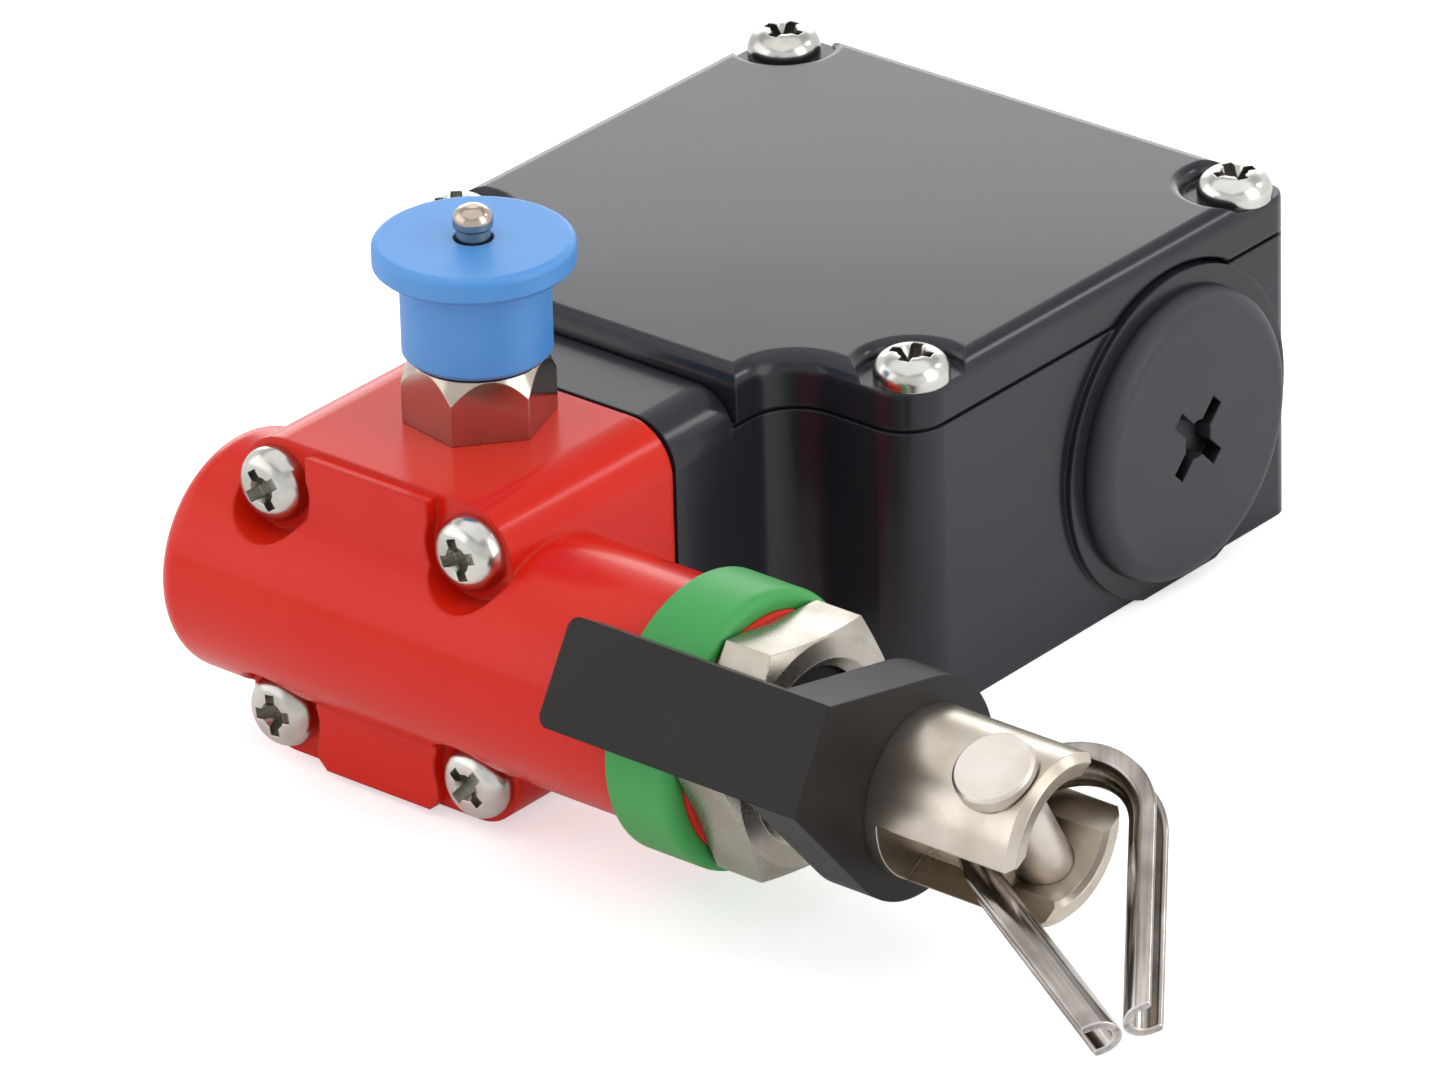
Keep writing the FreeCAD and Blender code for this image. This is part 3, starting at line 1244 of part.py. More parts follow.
def small_screw(name, radius, length, head_r, head_h):
    """Cheese head screw with a straight slot, seat at its origin, head up."""
    body = new_body(name)
    profile = [(0, -length), (radius - 0.3, -length), (radius, -length + 0.4), (radius, 0), (head_r, 0),
               (head_r, head_h - 0.3), (head_r - 0.3, head_h), (0, head_h)]
    turn_profile(body, "turned", profile)
    slot = rectangle(-head_r - 1, -0.4, head_r + 1, 0.4)
    extrude(body, "slot", "XY_Plane", head_h - 1, 3, cut=True, outline=slot)
    return body


def make_terminal_screws(master):
    z = float(S["block_top"] + S["strip_t"])
    places = []
    for number, (x, y) in enumerate(terminal_places()):
        spin = FreeCAD.Rotation(UP, 25 + 40 * number)
        places.append(FreeCAD.Placement(V(float(x), float(y), z), spin))
    return copies("terminal_screws", master, places)


def make_block_screws(master):
    places = []
    for number, (x, y) in enumerate(block_screw_places()):
        spin = FreeCAD.Rotation(UP, 30 + 50 * number)
        places.append(FreeCAD.Placement(V(float(x), float(y), float(S["block_seat"])), spin))
    return copies("block_screws", master, places)


def make_earth_clamp():
    top = S["wall_floor"] + S["earth_post_h"]
    body = new_body("earth_clamp", (S["earth_x"], S["earth_y"], top))
    w = S["earth_clamp_w"]
    extrude(body, "plate", "XY_Plane", 0, S["earth_clamp_t"], outline=rectangle(-w, -w, w, w))
    hole = [(0, 0, S["earth_screw_r"] + 0.18)]
    extrude(body, "hole", "XY_Plane", -1, 4, cut=True, circles=hole)
    return body


def make_earth_screw(master):
    z = S["wall_floor"] + S["earth_post_h"] + S["earth_clamp_t"]
    at = V(float(S["earth_x"]), float(S["earth_y"]), float(z))
    return copies("earth_screw", master, [FreeCAD.Placement(at, FreeCAD.Rotation(UP, 15))])


def make_shaft_spring():
    start = S["clip_x"] + 1 + S["spring_seat_t"]
    y, z = S["axis_y"], S["axis_z"]
    wire = float(S["shaft_wire_r"])
    mean = float(S["shaft_coil_r"])
    return make_spring("shaft_spring", mean, wire, 6, (start, y, z), (S["bush_low"], y, z))


def make_reset_spring():
    y = S["reset_y"]
    start = (0, y, S["clip_z"] + 0.8)
    mean = float(S["reset_coil_r"])
    return make_spring("reset_spring", mean, 0.4, 7, start, (0, y, S["reset_chamber_top"]))


def make_carriage_spring():
    z = S["axis_z"]
    start = S["plunger_end"] + S["carriage_len"] - S["carriage_spring_deep"]
    end = S["block_end"] - S["block_end_t"]
    mean = float(S["carriage_coil_r"])
    return make_spring("carriage_spring", mean, 0.35, 5, (0, start, z), (0, end, z))


def build():
    pan_screw = make_screw("pan_screw_master", S["screw_len"])
    long_screw = make_screw("long_screw_master", S["head_screw_len"])
    small_r = S["small_screw_r"]
    head_r = S["small_head_r"]
    terminal = small_screw("terminal_master", small_r, S["terminal_len"], head_r, 2.0)
    block_len = S["block_seat"] - S["wall_floor"] + S["block_bite"]
    block = small_screw("block_master", small_r, block_len, head_r, 2.0)
    earth = small_screw("earth_master", S["earth_screw_r"], 5, head_r + 0.4, 2.4)
    return [
        make_housing(), make_cover(), make_cover_gasket(), make_cover_screws(pan_screw),
        make_plug("entry_plug_right", 1), make_plug("entry_plug_left", -1), make_plug_seals(),
        make_head_casing(), make_head_gasket(), make_head_screws(long_screw), make_tension_ring(),
        make_end_bush(), make_shaft_wiper(), make_pull_shaft(), make_shaft_circlip(),
        make_spring_seat(), make_pointer(), make_fork(), make_fork_pin(), make_thimble(),
        make_shaft_spring(), make_cam_plunger(), make_plunger_guide(), make_reset_nut(),
        make_reset_stem(), make_stem_clip(), make_reset_knob(), make_reset_spring(),
        make_contact_base(), make_contact_carriage(), make_contact_bridges(),
        make_fixed_contacts(), make_terminal_screws(terminal), make_block_screws(block),
        make_carriage_spring(), make_earth_clamp(), make_earth_screw(earth),
    ]


def check_and_export(pieces):
    doc.recompute()
    for thing in doc.Objects:
        if "Invalid" in thing.State or "Error" in thing.State:
            raise RuntimeError(f"failed: {thing.Name} {thing.State}")
    os.makedirs("parts", exist_ok=True)
    for piece in pieces:
        shape = piece.Shape
        if shape.isNull() or not shape.isValid():
            raise RuntimeError(f"bad shape: {piece.Label}")
        shape.exportStep(f"parts/{piece.Label}.step")
        box = shape.BoundBox
        print(f"{piece.Label:20s} solids {len(shape.Solids)} volume {shape.Volume:10.1f}")
        print(f"    x {box.XMin:.2f}..{box.XMax:.2f} y {box.YMin:.2f}..{box.YMax:.2f}"
              f" z {box.ZMin:.2f}..{box.ZMax:.2f}")


check_and_export(build())
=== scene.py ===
# %% [markdown]
# # A rope pull switch
# The switch is a small die-cast box that stops a machine when somebody pulls a rope. All of its
# pieces were constructed beforehand, at real size, and come in as a fixed frame. Their shapes
# need nothing more, so this lesson is about looks: it gives each piece the finish that the real
# one has, and lights the whole for one studio picture.

# %% Load the frame
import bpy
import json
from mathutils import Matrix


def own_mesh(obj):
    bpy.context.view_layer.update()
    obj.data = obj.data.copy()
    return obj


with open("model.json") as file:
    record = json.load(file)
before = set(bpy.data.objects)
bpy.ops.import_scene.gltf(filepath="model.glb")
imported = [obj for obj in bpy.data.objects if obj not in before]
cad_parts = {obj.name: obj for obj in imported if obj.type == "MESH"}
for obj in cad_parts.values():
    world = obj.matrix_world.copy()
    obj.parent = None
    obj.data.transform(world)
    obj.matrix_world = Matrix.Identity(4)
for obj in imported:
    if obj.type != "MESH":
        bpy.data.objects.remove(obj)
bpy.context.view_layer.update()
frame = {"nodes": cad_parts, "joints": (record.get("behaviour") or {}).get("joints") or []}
print("pieces in the frame:", len(frame["nodes"]))

# %% Modules
import json
import math

import bpy
from mathutils import Quaternion, Vector

MM = 0.001  # Blender counts in metres
NODES = frame["nodes"]
JOINTS = {joint["name"]: joint for joint in frame["joints"]}
print("joints in the frame:", ", ".join(JOINTS))

# %% [markdown]
# ## The camera
# The picture was taken from far away with a long lens, so parallel edges stay nearly parallel.
# The camera's place and roll were worked out from edges and circles of known size. Blender
# wants a rotation, and the safest way to get one is to point the camera at its target and
# then roll it about its own line of sight.

# %% Set up the camera
CAMERA_EYE = Vector((680.4, -819.4, 538.4)) * MM
CAMERA_TARGET = Vector((13.551, -33.051, 18.0)) * MM
CAMERA_ROLL = math.radians(-1.581)
CAMERA_LENS = 277.99  # lens and sensor are in millimetres, as on a real camera
SENSOR_WIDTH = 36
NEAREST_SEEN = 50 * MM


def make_camera():
    data = bpy.data.cameras.new("studio_camera")
    data.lens = CAMERA_LENS
    data.sensor_width = SENSOR_WIDTH
    data.clip_start = NEAREST_SEEN
    camera = bpy.data.objects.new("studio_camera", data)
    bpy.context.scene.collection.objects.link(camera)
    look = (CAMERA_TARGET - CAMERA_EYE).to_track_quat("-Z", "Y")
    camera.rotation_mode = "QUATERNION"
    camera.rotation_quaternion = look @ Quaternion((0, 0, 1), CAMERA_ROLL)
    camera.location = CAMERA_EYE
    bpy.context.scene.camera = camera


make_camera()
print("camera distance, m:", round((CAMERA_TARGET - CAMERA_EYE).length, 3))

# %% [markdown]
# ## Shader maths as Python
# A material is a small program. Wiring its nodes by hand hides the idea, so one class wraps a
# node's output socket and lets the usual operators build the maths nodes. A Math node turns a
# colour grey, which is why colours go through Mix, in a function of its own further down.

# %% A socket that can be used in expressions
class Wire:
    def __init__(self, graph, socket):
        self.graph = graph
        self.socket = socket

    def _math(self, operation, first, second=None):
        values = {0: first} if second is None else {0: first, 1: second}
        return self.graph.node("ShaderNodeMath", {"operation": operation}, values)

    def __add__(self, other):
        return self._math("ADD", self, other)

    def __radd__(self, other):
        return self._math("ADD", other, self)

    def __sub__(self, other):
        return self._math("SUBTRACT", self, other)

    def __rsub__(self, other):
        return self._math("SUBTRACT", other, self)

    def __mul__(self, other):
        return self._math("MULTIPLY", self, other)

    def __rmul__(self, other):
        return self._math("MULTIPLY", other, self)

    def __abs__(self):
        return self._math("ABSOLUTE", self)

    def clamp(self):
        return self.graph.node("ShaderNodeClamp", {}, {"Value": self})


print("a socket can be added, subtracted, multiplied, clamped and made positive")

# %% [markdown]
# ## The graph behind the wires
# Materials and the world both keep a tree of nodes that ends in one shader. One class holds
# such a tree. Apart from that shader and its output, every node of this lesson comes from its
# node method: first the kind, then the settings, then a number or a wire for each socket.

# %% A tree of nodes
OBJECT_COORDINATES = 3  # their place among the outputs of a Texture Coordinate node


class Graph:
    """The nodes of one material, or of the world, and the shader that they end in."""

    def __init__(self, owner):
        self.owner = owner
        owner.use_nodes = True
        self.tree = owner.node_tree
        self.tree.nodes.clear()
        kinds = ("ShaderNodeBsdfPrincipled", "ShaderNodeOutputMaterial")
        if isinstance(owner, bpy.types.World):
            kinds = ("ShaderNodeBackground", "ShaderNodeOutputWorld")
        self.shader = self.tree.nodes.new(kinds[0])
        output = self.tree.nodes.new(kinds[1])
        self.tree.links.new(self.shader.outputs[0], output.inputs["Surface"])

    def node(self, kind, settings=None, values=None, output=0):
        made = self.tree.nodes.new(kind)
        for name, value in (settings or {}).items():
            setattr(made, name, value)
        for name, value in (values or {}).items():
            self.connect(value, made.inputs[name])
        return Wire(self, made.outputs[output])

    def connect(self, value, socket):
        if isinstance(value, Wire):
            self.tree.links.new(value.socket, socket)
        else:
            socket.default_value = value

    def set(self, **values):
        """Fill the shader's own sockets; an underscore stands for a space in their names."""
        for name, value in values.items():
            self.connect(value, self.shader.inputs[name.replace("_", " ")])

    def place(self):
        """Where a point lies on its piece, in metres."""
        return self.node("ShaderNodeTexCoord", output=OBJECT_COORDINATES)


def new_material(name):
    return Graph(bpy.data.materials.new(name))


print("materials and the world can be built")

# %% [markdown]
# ## Patterns and colours
# No real surface is even. Noise whose lumps are given in metres makes patches, grain and tool
# marks at their true size. A smooth step turns such noise into a mask, and the mask mixes two
# colours. Colours are noted as a screen shows them, and a shader wants them linear.

# %% Noise, steps and mixes
FACTOR, FIRST_COLOUR, SECOND_COLOUR = 0, 6, 7  # a Mix node's inputs when it mixes colours
MIXED_COLOUR = 2  # and its output


def noise(graph, size, detail=3.0, stretch=(1, 1, 1)):
    """Noise between 0 and 1 whose lumps measure about size metres."""
    where = graph.node("ShaderNodeMapping", {}, {"Vector": graph.place(), "Scale": stretch})
    values = {"Vector": where, "Scale": 1 / size, "Detail": detail}
    return graph.node("ShaderNodeTexNoise", {}, values)


def step(value, low, high):
    """0 below low, 1 above high and a smooth change between."""
    values = {"Value": value, "From Min": low, "From Max": high}
    return value.graph.node("ShaderNodeMapRange", {"interpolation_type": "SMOOTHSTEP"}, values)


def blend(factor, first, second):
    """The first colour where factor is 0, the second where it is 1."""
    values = {FACTOR: factor, FIRST_COLOUR: first, SECOND_COLOUR: second}
    return factor.graph.node("ShaderNodeMix", {"data_type": "RGBA"}, values, MIXED_COLOUR)


def rgb(red, green, blue):
    """A screen colour from 0 to 255 as the linear colour that a shader wants."""
    def linear(value):
        value /= 255
        return value / 12.92 if value <= 0.04045 else ((value + 0.055) / 1.055) ** 2.4
    return (linear(red), linear(green), linear(blue), 1)


print("middle grey on a screen is, in linear light,", round(rgb(128, 128, 128)[0], 3))

# %% [markdown]
# ## Edges and bumps
# Nothing that comes out of a factory has a perfectly sharp edge. Paint wears there, metal gets
# bright there, and light draws a thin line along it. The Bevel node gives the normal that a
# rounded edge would have, with no new polygons: where it leans away from the face's own normal
# there is an edge, and used as the normal itself it makes the edge look soft.

# %% Edge masks and relief
BEVEL_SAMPLES = 6
EDGE_LEAN = (0.01, 0.14)  # 1 - cosine of the lean at which an edge starts and is complete
DOT_OUTPUT = 1  # a Vector Math node gives vectors on output 0 and numbers on this one
NORMAL_OUTPUT = 1  # of a Geometry node


def vector(operation, first, second):
    """A Vector Math node: the vector itself, or the number that a dot product gives."""
    output = DOT_OUTPUT if operation == "DOT_PRODUCT" else 0
    values = {0: first, 1: second}
    return first.graph.node("ShaderNodeVectorMath", {"operation": operation}, values, output)


def rounded(graph, radius):
    """The surface's normal, as if every edge were rounded to this radius."""
    return graph.node("ShaderNodeBevel", {"samples": BEVEL_SAMPLES}, {"Radius": radius})


def edges(graph, radius):
    """1 on edges and corners that stick out or fold in, 0 on open surfaces."""
    plain = graph.node("ShaderNodeNewGeometry", output=NORMAL_OUTPUT)
    return step(1 - vector("DOT_PRODUCT", rounded(graph, radius), plain), *EDGE_LEAN)


def relief(height, strength, distance, soft_edge):
    """Bumps from height, on a surface whose sharp edges are rounded to soft_edge."""
    graph = height.graph
    values = {"Height": height, "Strength": strength, "Distance": distance,
              "Normal": rounded(graph, soft_edge)}
    graph.set(Normal=graph.node("ShaderNodeBump", {}, values))


print("edges can be found and softened, with", BEVEL_SAMPLES, "samples each")

# %% [markdown]
# ## Enamel on die-cast metal
# The box and the head are zinc castings under a thick stove enamel. Enamel flows before it
# sets: edges go soft, and broad faces keep a faint orange peel. A thin clear coat over a
# rougher base gives both the sharp reflection and the soft one under it, and a little noise in
# the roughness keeps the reflection from looking computed.

# %% Two enamels
PAINT_CLOUD = 18 * MM
PAINT_GRAIN = 1.2 * MM
PAINT_EDGE = 0.5 * MM
PAINT_TINT = 0.3  # how far clouds and edges take the colour towards the worn one
CLOUD_RISE = (0.3, 0.7)  # values of the noise where a cloud starts and is complete
CLOUD_ROUGHNESS, GRAIN_ROUGHNESS = 0.08, 0.04
PEEL_SIZE = 1.6 * MM
FINE_PEEL_SIZE = 0.5 * MM
FINE_PEEL_SHARE = 0.35
PEEL_HEIGHT = 0.02 * MM
CLEAR_COAT = {"Coat_Weight": 0.15, "Coat_Roughness": 0.06}


def enamel(name, colour, worn, roughness, peel, gloss, soft_edge):
    """Painted casting; worn is its colour on edges, peel the depth of the ripples."""
    g = new_material(name)
    clouds = noise(g, PAINT_CLOUD, 2)
    grain = noise(g, PAINT_GRAIN, 2)
    tone = blend(step(clouds, *CLOUD_RISE) * PAINT_TINT, colour, worn)
    g.set(Base_Color=blend(edges(g, PAINT_EDGE) * PAINT_TINT, tone, worn))
    g.set(Roughness=roughness + CLOUD_ROUGHNESS * clouds + GRAIN_ROUGHNESS * grain)
    g.set(Specular_IOR_Level=gloss, **CLEAR_COAT)
    ripples = noise(g, PEEL_SIZE, 1) + FINE_PEEL_SHARE * noise(g, FINE_PEEL_SIZE, 1)
    relief(ripples, peel, PEEL_HEIGHT, soft_edge)
    return g.owner


dark_enamel = enamel("dark_enamel", rgb(32, 33, 40), rgb(45, 47, 54),
                     roughness=0.18, peel=0.14, gloss=0.30, soft_edge=0.35 * MM)
red_enamel = enamel("red_enamel", rgb(214, 30, 8), rgb(220, 44, 22),
                    roughness=0.20, peel=0.07, gloss=0.20, soft_edge=0.6 * MM)
print("enamels:", dark_enamel.name, red_enamel.name)

# %% [markdown]
# ## Plated and bare metal
# Nickel is warm, zinc is cooler, and brass and spring steel have colours of their own. All were
# machined or pressed first, so the plating carries fine marks. Narrow hollows, which an Ambient
# Occlusion node finds, are painted a darker brownish grey: painted shade. The shaft was turned
# from drawn rod and keeps the rod's long lines: there the marks are stretched fiftyfold along the
# pull axis.

# %% Metals
METAL_PATCH = 6 * MM
PATCH_RISE = (0.3, 0.75)
METAL_EDGE = 0.3 * MM
METAL_SOFT_EDGE = 0.2 * MM
EDGE_TINT = 0.5
METAL_MARK = 0.4 * MM
MARK_HEIGHT = 0.02 * MM
PATCH_ROUGHNESS, MARK_ROUGHNESS, EDGE_POLISH = 0.12, 0.08, 0.06
DRAWN_LINES = (0.02, 1, 1)
# Painted shade in narrow hollows: how wide they are, how strong the shade is and its brownish
# grey.
SHADE_DEPTH = 2 * MM
SHADE_TINT = 0.3
PAINTED_SHADE_COLOUR = rgb(112, 104, 84)
HOLLOW_SAMPLES = 8
HOLLOW_SHADE = (0.25, 0.65)  # share of the sky that is hidden where the painted shade starts and is complete
OPEN_OUTPUT = 1  # of an Ambient Occlusion node, the number beside its colour


def painted_hollow_shade(graph, depth):
    """1 in narrow hollows about depth metres wide, where shade is painted in, 0 on open surfaces.
    """
    samples = {"samples": HOLLOW_SAMPLES}
    values = {"Distance": depth}
    open_air = graph.node("ShaderNodeAmbientOcclusion", samples, values, OPEN_OUTPUT)
    return step(1 - open_air, *HOLLOW_SHADE)


def metal(name, light, dark, roughness, lines=(1, 1, 1), depth=0.25):
    """Plated or bare metal; lines stretches its marks and depth is how deep they look."""
    g = new_material(name)
    patches = noise(g, METAL_PATCH, 3)
    marks = noise(g, METAL_MARK, 3, lines)
    edge = edges(g, METAL_EDGE)
    tone = blend(step(patches, *PATCH_RISE), light, dark)
    tone = blend(edge * EDGE_TINT, tone, light)
    # Narrow hollows are painted a darker brownish grey: painted shade.
    g.set(Base_Color=blend(painted_hollow_shade(g, SHADE_DEPTH) * SHADE_TINT, tone, PAINTED_SHADE_COLOUR), Metallic=1.0)
    rough = roughness + PATCH_ROUGHNESS * patches + MARK_ROUGHNESS * marks
    g.set(Roughness=(rough - EDGE_POLISH * edge).clamp())
    relief(marks, depth, MARK_HEIGHT, METAL_SOFT_EDGE)
    return g.owner


nickel = metal("satin_nickel", rgb(188, 182, 173), rgb(168, 160, 147), 0.18, depth=0.16)
fork_nickel = metal("fork_nickel", rgb(208, 199, 187), rgb(184, 173, 157), 0.20, depth=0.18)
pin_nickel = metal("pin_nickel", rgb(232, 224, 217), rgb(216, 206, 197), 0.28, depth=0.12)
nut_nickel = metal("nut_nickel", rgb(192, 178, 166), rgb(172, 156, 144), 0.08, depth=0.05)
zinc = metal("zinc_plate", rgb(212, 211, 205), rgb(176, 174, 167), 0.12, depth=0.12)
shaft_metal = metal("turned_shaft", rgb(206, 190, 158), rgb(176, 156, 120), 0.20, DRAWN_LINES)
contact_metal = metal("contact_brass", rgb(212, 176, 104), rgb(176, 138, 70), 0.24)
spring_metal = metal("spring_steel", rgb(176, 176, 178), rgb(120, 120, 124), 0.26)
print("materials so far:", len(bpy.data.materials))

# %% [markdown]
# ## Sheet that was drawn, then bent
# The thimble is rolled from drawn steel, and its lines follow both arms. Noise is stretched
# along one straight direction only, so the shader works out where a point lies along its own
# arm. The frame knows the pin that the thimble hangs on, and a few sizes give the rest: where
# the crown's centre lies from the pin, how low the eye hangs and how wide its arms open. The
# arms mirror each other about the eye's axis: the absolute value of the distance from that axis
# folds them into one, and a small turn lines the noise up with it.

# %% Where the thimble's arms run
PULL_WAY = Vector(JOINTS["pull_slide"]["axis"])
PIN_WAY = Vector(JOINTS["thimble_swing"]["axis"])
PIN_PLACE = Vector(JOINTS["thimble_swing"]["pos_m"])
CROWN_AWAY = 3.7 * MM  # from the pin to the crown's centre
CROWN_LIFT = math.radians(13)  # and how far above the pull axis that centre lies
CROWN_ALONG = -1.4 * MM  # the thimble's middle plane, along the pin
EYE_DROP = math.radians(42.3)  # the eye hangs this far below the pull axis
ARM_LEAN = math.radians(15.5)  # each arm leans this far away from the eye's axis

eye_axis = Quaternion(PIN_WAY, -EYE_DROP) @ PULL_WAY
eye_side = PIN_WAY.cross(eye_axis)
crown_way = Quaternion(PIN_WAY, CROWN_LIFT) @ PULL_WAY
eye_centre = PIN_PLACE + crown_way * CROWN_AWAY + PIN_WAY * CROWN_ALONG
print("centre of the eye, mm:", [round(part / MM, 1) for part in eye_centre])

# %% The thimble's steel
STREAKS_PER_METRE = 1100
STREAK_STRETCH = 0.06  # a streak is about seventeen times as long as it is wide
STREAK_RISE = (0.28, 0.72)
STREAK_HEIGHT = 0.03 * MM
STREAK_STRENGTH = 0.22
SOIL_PATCH = 7 * MM
SOIL_RISE = (0.5, 0.9)
SOIL_BY_STREAKS = 0.4  # how much a streak adds to the soil that it holds
SOIL_TINT = 0.7
STEEL_EDGE = 0.4 * MM
STEEL_SOFT_EDGE = 0.3 * MM
# How far edges are painted towards near white: a painted highlight.
EDGE_HIGHLIGHT_TINT = 0.8
STEEL_ROUGHNESS, STREAK_POLISH = 0.20, 0.10
STEEL_DARK, STEEL_LIGHT = rgb(150, 142, 136), rgb(214, 208, 203)
# The soiled colour, and the near white of the painted highlight on edges.
STEEL_SOILED, STEEL_EDGE_HIGHLIGHT = rgb(112, 104, 98), rgb(240, 236, 232)


def make_drawn_steel():
    g = new_material("galvanised_steel")
    offset = vector("SUBTRACT", g.place(), eye_centre)
    forward = vector("DOT_PRODUCT", offset, eye_axis)
    aside = abs(vector("DOT_PRODUCT", offset, eye_side))
    along = forward * math.cos(ARM_LEAN) - aside * math.sin(ARM_LEAN)
    across = forward * math.sin(ARM_LEAN) + aside * math.cos(ARM_LEAN)
    depth = vector("DOT_PRODUCT", offset, PIN_WAY)
    arm = g.node("ShaderNodeCombineXYZ", {},
                 {"X": along * STREAK_STRETCH, "Y": across, "Z": depth})
    streaks = g.node("ShaderNodeTexNoise", {},
                     {"Vector": arm, "Scale": STREAKS_PER_METRE, "Detail": 3})
    soiled = step(noise(g, SOIL_PATCH, 2) + SOIL_BY_STREAKS * streaks, *SOIL_RISE)
    tone = blend(step(streaks, *STREAK_RISE), STEEL_DARK, STEEL_LIGHT)
    tone = blend(soiled * SOIL_TINT, tone, STEEL_SOILED)
    # Edges are painted near white: a painted highlight along them.
    g.set(Base_Color=blend(edges(g, STEEL_EDGE) * EDGE_HIGHLIGHT_TINT, tone, STEEL_EDGE_HIGHLIGHT))
    g.set(Metallic=1.0, Roughness=STEEL_ROUGHNESS - STREAK_POLISH * streaks)
    relief(streaks, STREAK_STRENGTH, STREAK_HEIGHT, STEEL_SOFT_EDGE)
    return g.owner


drawn_steel = make_drawn_steel()
print("steel of the thimble:", drawn_steel.name)

# %% [markdown]
# ## Moulded plastics and rubber
# A moulded face copies the spark-eroded steel that it was pressed against: a fine even grain,
# rougher than paint and without its clear coat. Colour goes all the way through, so an edge
# only gets a little paler where light scatters in it.

# %% Plastics
FLOW_PATCH = 10 * MM
FLOW_RISE = (0.3, 0.7)
FLOW_TINT = 0.3
MOULD_EDGE = 0.4 * MM
MOULD_SOFT_EDGE = 0.3 * MM
MOULD_EDGE_TINT = 0.45
MOULD_GRAIN = 0.35 * MM
MOULD_GRAIN_HEIGHT = 0.03 * MM
MOULD_GRAIN_STRENGTH = 0.22
FLOW_ROUGHNESS, MOULD_GRAIN_ROUGHNESS = 0.10, 0.06
# Hollows of a moulding are painted towards near black, up to this width: painted shade.
MOULD_SHADE_DEPTH = 3 * MM
PAINTED_SHADE_BLACK = rgb(8, 8, 9)


def plastic(name, colour, pale, roughness, gloss=0.5, painted_shade=0.3):
    """Moulding; pale is its colour on edges, and the last argument is how dark the shade painted
    into its hollows gets.
    """
    g = new_material(name)
    flow = noise(g, FLOW_PATCH, 2)
    grain = noise(g, MOULD_GRAIN, 2)
    tone = blend(step(flow, *FLOW_RISE) * FLOW_TINT, colour, pale)
    tone = blend(edges(g, MOULD_EDGE) * MOULD_EDGE_TINT, tone, pale)
    # Narrow hollows are painted towards near black: painted shade.
    g.set(Base_Color=blend(painted_hollow_shade(g, MOULD_SHADE_DEPTH) * painted_shade, tone, PAINTED_SHADE_BLACK))
    g.set(Roughness=roughness + FLOW_ROUGHNESS * flow + MOULD_GRAIN_ROUGHNESS * grain)
    g.set(Specular_IOR_Level=gloss)
    relief(grain, MOULD_GRAIN_STRENGTH, MOULD_GRAIN_HEIGHT, MOULD_SOFT_EDGE)
    return g.owner


ring_green = plastic("ring_green", rgb(50, 156, 70), rgb(76, 172, 94), 0.36)
knob_blue = plastic("knob_blue", rgb(62, 140, 214), rgb(96, 162, 226), 0.40, gloss=0.8)
pointer_black = plastic("pointer_black", rgb(30, 26, 25), rgb(46, 42, 41), 0.36, gloss=0.24)
# The plug's cross recess gets almost the full painted shade.
plug_grey = plastic("plug_grey", rgb(46, 48, 53), rgb(62, 64, 70), 0.38, gloss=0.4, painted_shade=0.95)
block_black = plastic("block_black", rgb(40, 40, 42), rgb(70, 70, 72), 0.5)
carriage_cream = plastic("carriage_cream", rgb(214, 204, 176), rgb(230, 222, 200), 0.45)
seal_rubber = plastic("seal_rubber", rgb(24, 24, 25), rgb(40, 40, 41), 0.7)
print("materials so far:", len(bpy.data.materials))

# %% [markdown]
# ## Dressing the constructed pieces
# Every piece is already right in shape, so it keeps its mesh and only gets a finish. One table
# says which pieces wear what, and a loop puts it on every material slot.

# %% Give each constructed piece its finish
FINISH = {
    dark_enamel: ["housing", "cover"],
    red_enamel: ["head_casing"],
    nickel: ["end_bush"],
    fork_nickel: ["rope_fork"],
    pin_nickel: ["fork_pin"],
    nut_nickel: ["reset_nut", "reset_stem"],
    zinc: ["cover_screws", "head_screws", "terminal_screws", "block_screws"],
    drawn_steel: ["rope_thimble"],
    shaft_metal: ["pull_shaft"],
    contact_metal: ["contact_bridges", "fixed_contacts", "earth_clamp", "earth_screw",
                    "plunger_guide"],
    spring_metal: ["shaft_spring", "reset_spring", "carriage_spring", "shaft_circlip", "stem_clip",
                   "spring_seat", "cam_plunger"],
    ring_green: ["tension_ring"],
    knob_blue: ["reset_knob"],
    pointer_black: ["tension_pointer"],
    plug_grey: ["entry_plug_right", "entry_plug_left"],
    block_black: ["contact_base"],
    carriage_cream: ["contact_carriage"],
    seal_rubber: ["cover_gasket", "head_gasket", "plug_seals", "shaft_wiper"],
}

dressed = 0
for finish, names in FINISH.items():
    for name in names:
        for slot in NODES[name].material_slots:
            slot.material = finish
        dressed += 1
print("dressed", dressed, "of", len(NODES))

# %% [markdown]
# ## The two springs
# Two springs hold the shaft in and the reset knob down. Nobody sees them. Each gets a mesh of its
# own, and the share of its length that its joint travels is worked out and printed; the spring
# itself is not shortened.

# %% Give each spring its own mesh and print its travel
def give_way(name, joint):
    spring = NODES[name]
    axis = tuple(JOINTS[joint]["axis"])
    travel = max(JOINTS[joint]["range_m"])
    corners = [spring.matrix_world @ Vector(corner) for corner in spring.bound_box]
    reach = [corner.dot(Vector(axis)) for corner in corners]
    length = max(reach) - min(reach)
    (length - travel) / length
    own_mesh(spring)
    print(name, "gives", round(travel / length * 100), "% of its length")


give_way("shaft_spring", "pull_slide")
give_way("reset_spring", "reset_slide")

# %% [markdown]
# ## The floor
# The picture has a white ground with a soft shadow on it. Light alone would have to be far too
# strong to make a floor that white, so the floor is pale and also glows a little, but only for
# the camera and, more faintly, in reflections. On the object itself its glow casts no light.

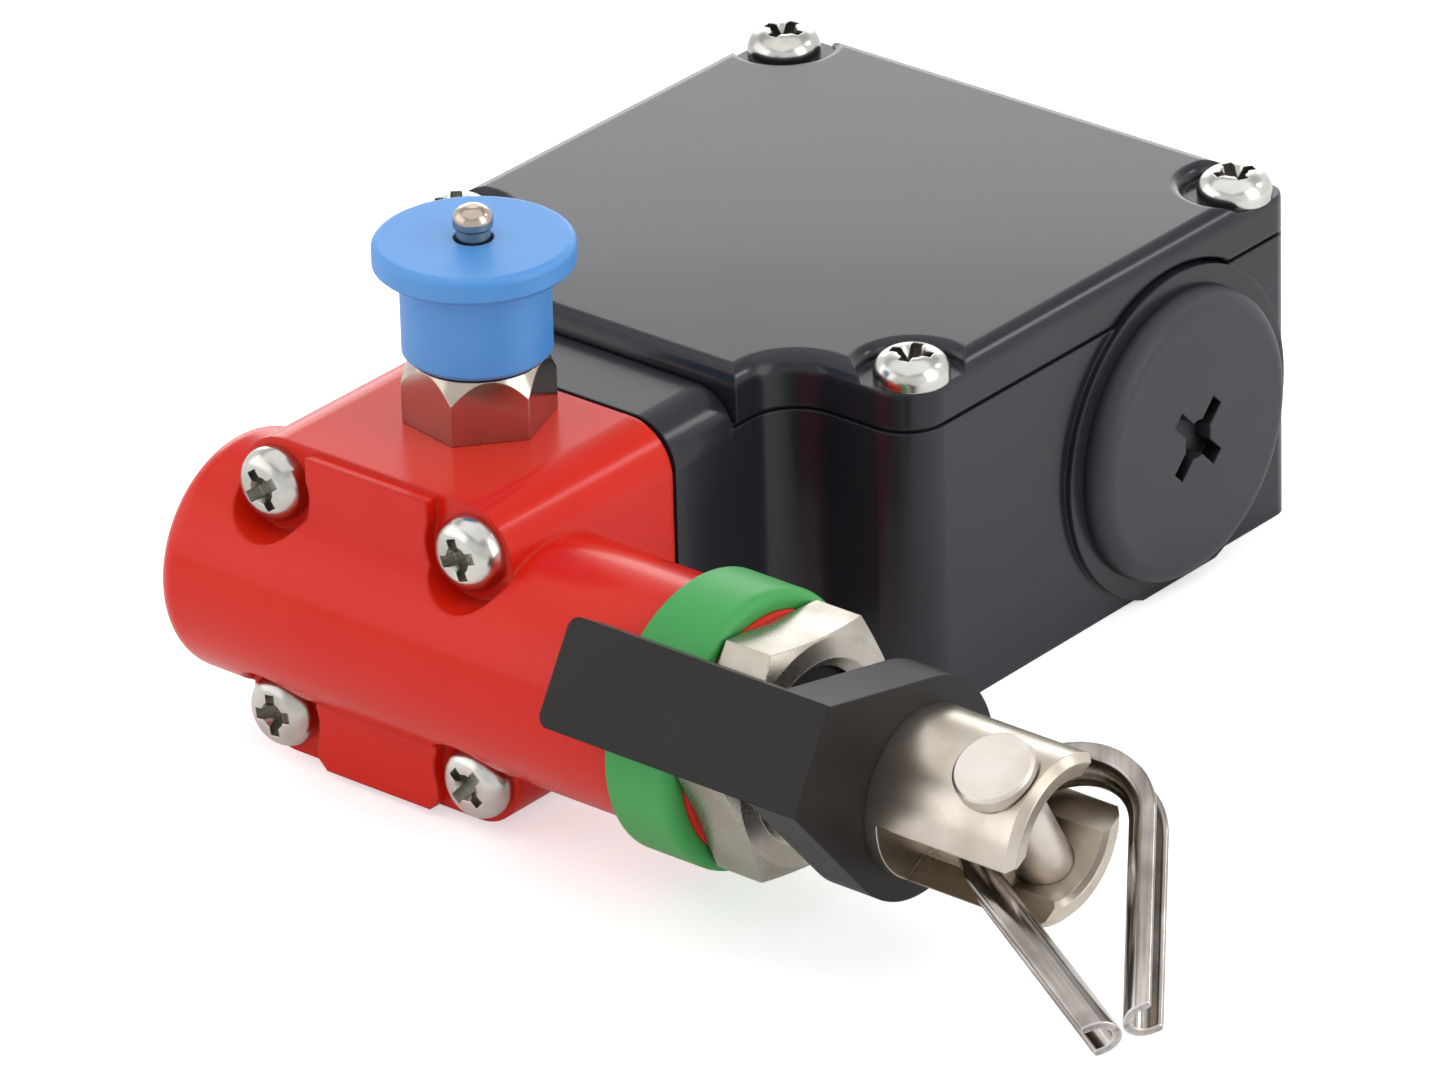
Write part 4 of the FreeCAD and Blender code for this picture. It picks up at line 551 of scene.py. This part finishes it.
# %% A white floor that keeps its shadow
FLOOR_SIZE = 6
FLOOR_PAINT = (0.88, 0.88, 0.88, 1)
FLOOR_GLOW = (0.55, 0.55, 0.55, 1)
NO_GLOW = (0, 0, 0, 1)
FLOOR_PATCH = 200 * MM
FLOOR_ROUGHNESS, PATCHY_ROUGHNESS = 0.9, 0.05
GLOW_IN_REFLECTIONS = 0.2


def ray(graph, kind):
    """1 for the rays of one kind, such as Is Camera Ray, and 0 for the others."""
    return graph.node("ShaderNodeLightPath", output=kind)


def make_floor():
    bpy.ops.mesh.primitive_plane_add(size=FLOOR_SIZE)
    floor = bpy.context.object
    floor.name = "studio_floor"
    g = new_material("studio_white")
    patches = noise(g, FLOOR_PATCH, 1)
    g.set(Base_Color=FLOOR_PAINT, Roughness=FLOOR_ROUGHNESS + PATCHY_ROUGHNESS * patches)
    seen = ray(g, "Is Camera Ray") + GLOW_IN_REFLECTIONS * ray(g, "Is Glossy Ray")
    g.set(Emission_Color=blend(seen, NO_GLOW, FLOOR_GLOW), Emission_Strength=1.0)
    floor.data.materials.append(g.owner)


make_floor()
print("floor of", FLOOR_SIZE, "m")

# %% [markdown]
# ## The world around it
# The world has three parts to play. To the camera it is plain white. As a light it is a calm
# grey that fills the shadows. In reflections it is bright low down and darker overhead and in
# front, as a studio's walls and ceiling are, because glossy paint and metal only look like
# themselves when there is something darker to mirror.

# %% White to the camera, shaded in reflections
WHITE = (1, 1, 1, 1)
WORLD_LIGHT = 0.58
CEILING = (0.42, 0.62)  # heights of a ray's direction where the ceiling starts and is complete
CEILING_SHADE = 0.4
FRONT = (0.0, 0.8)  # the same towards the front of the studio
FRONT_SHADE = 0.1


def make_world():
    world = bpy.data.worlds.new("studio_world")
    bpy.context.scene.world = world
    g = Graph(world)
    where = g.node("ShaderNodeTexCoord")
    across = g.node("ShaderNodeSeparateXYZ", {}, {"Vector": where}, "Y")
    height = g.node("ShaderNodeSeparateXYZ", {}, {"Vector": where}, "Z")
    ceiling = step(height, *CEILING)
    front = step(0 - across, *FRONT)
    mirrored = (1 - CEILING_SHADE * ceiling) * (1 - FRONT_SHADE * front)
    camera_ray = ray(g, "Is Camera Ray")
    glossy_ray = ray(g, "Is Glossy Ray")
    unseen = glossy_ray * mirrored + (1 - glossy_ray) * WORLD_LIGHT
    g.set(Color=WHITE, Strength=camera_ray + (1 - camera_ray) * unseen)


make_world()
print("world as a light:", WORLD_LIGHT)

# %% [markdown]
# ## Softboxes
# A large lamp makes soft shadows and a broad, gentle reflection. One hangs overhead and three
# stand around the switch: the back one is what the lid mirrors towards the camera. The small
# one is placed where the long edges of the box mirror it, so that each gets its thin bright line.

# %% Five lamps
SOFTBOXES = {  # where each one stands, its width and height, and its power in watts
    "overhead_softbox": ((0.0, -0.1, 0.8), (1.3, 1.3), 3.4),
    "left_softbox": ((-0.6, -0.6, 0.35), (1.1, 0.6), 1.8),
    "right_softbox": ((0.8, 0.15, 0.35), (0.5, 0.8), 2.4),
    "back_softbox": ((-0.62, 0.73, 0.27), (0.9, 0.42), 2.4),
    "edge_lamp": ((0.42, 0.60, 0.52), (0.16, 0.16), 0.5),
}


def make_light(name, place, size, power):
    data = bpy.data.lights.new(name, "AREA")
    data.shape = "RECTANGLE"
    data.size, data.size_y = size
    data.energy = power
    lamp = bpy.data.objects.new(name, data)
    lamp.location = Vector(place)
    lamp.rotation_mode = "QUATERNION"
    lamp.rotation_quaternion = (CAMERA_TARGET - lamp.location).to_track_quat("-Z", "Y")
    bpy.context.scene.collection.objects.link(lamp)


for name, (place, size, power) in SOFTBOXES.items():
    make_light(name, place, size, power)
bpy.context.scene.view_settings.view_transform = "Standard"
print("lamps:", len(SOFTBOXES), "with", round(sum(box[2] for box in SOFTBOXES.values()), 1), "W")
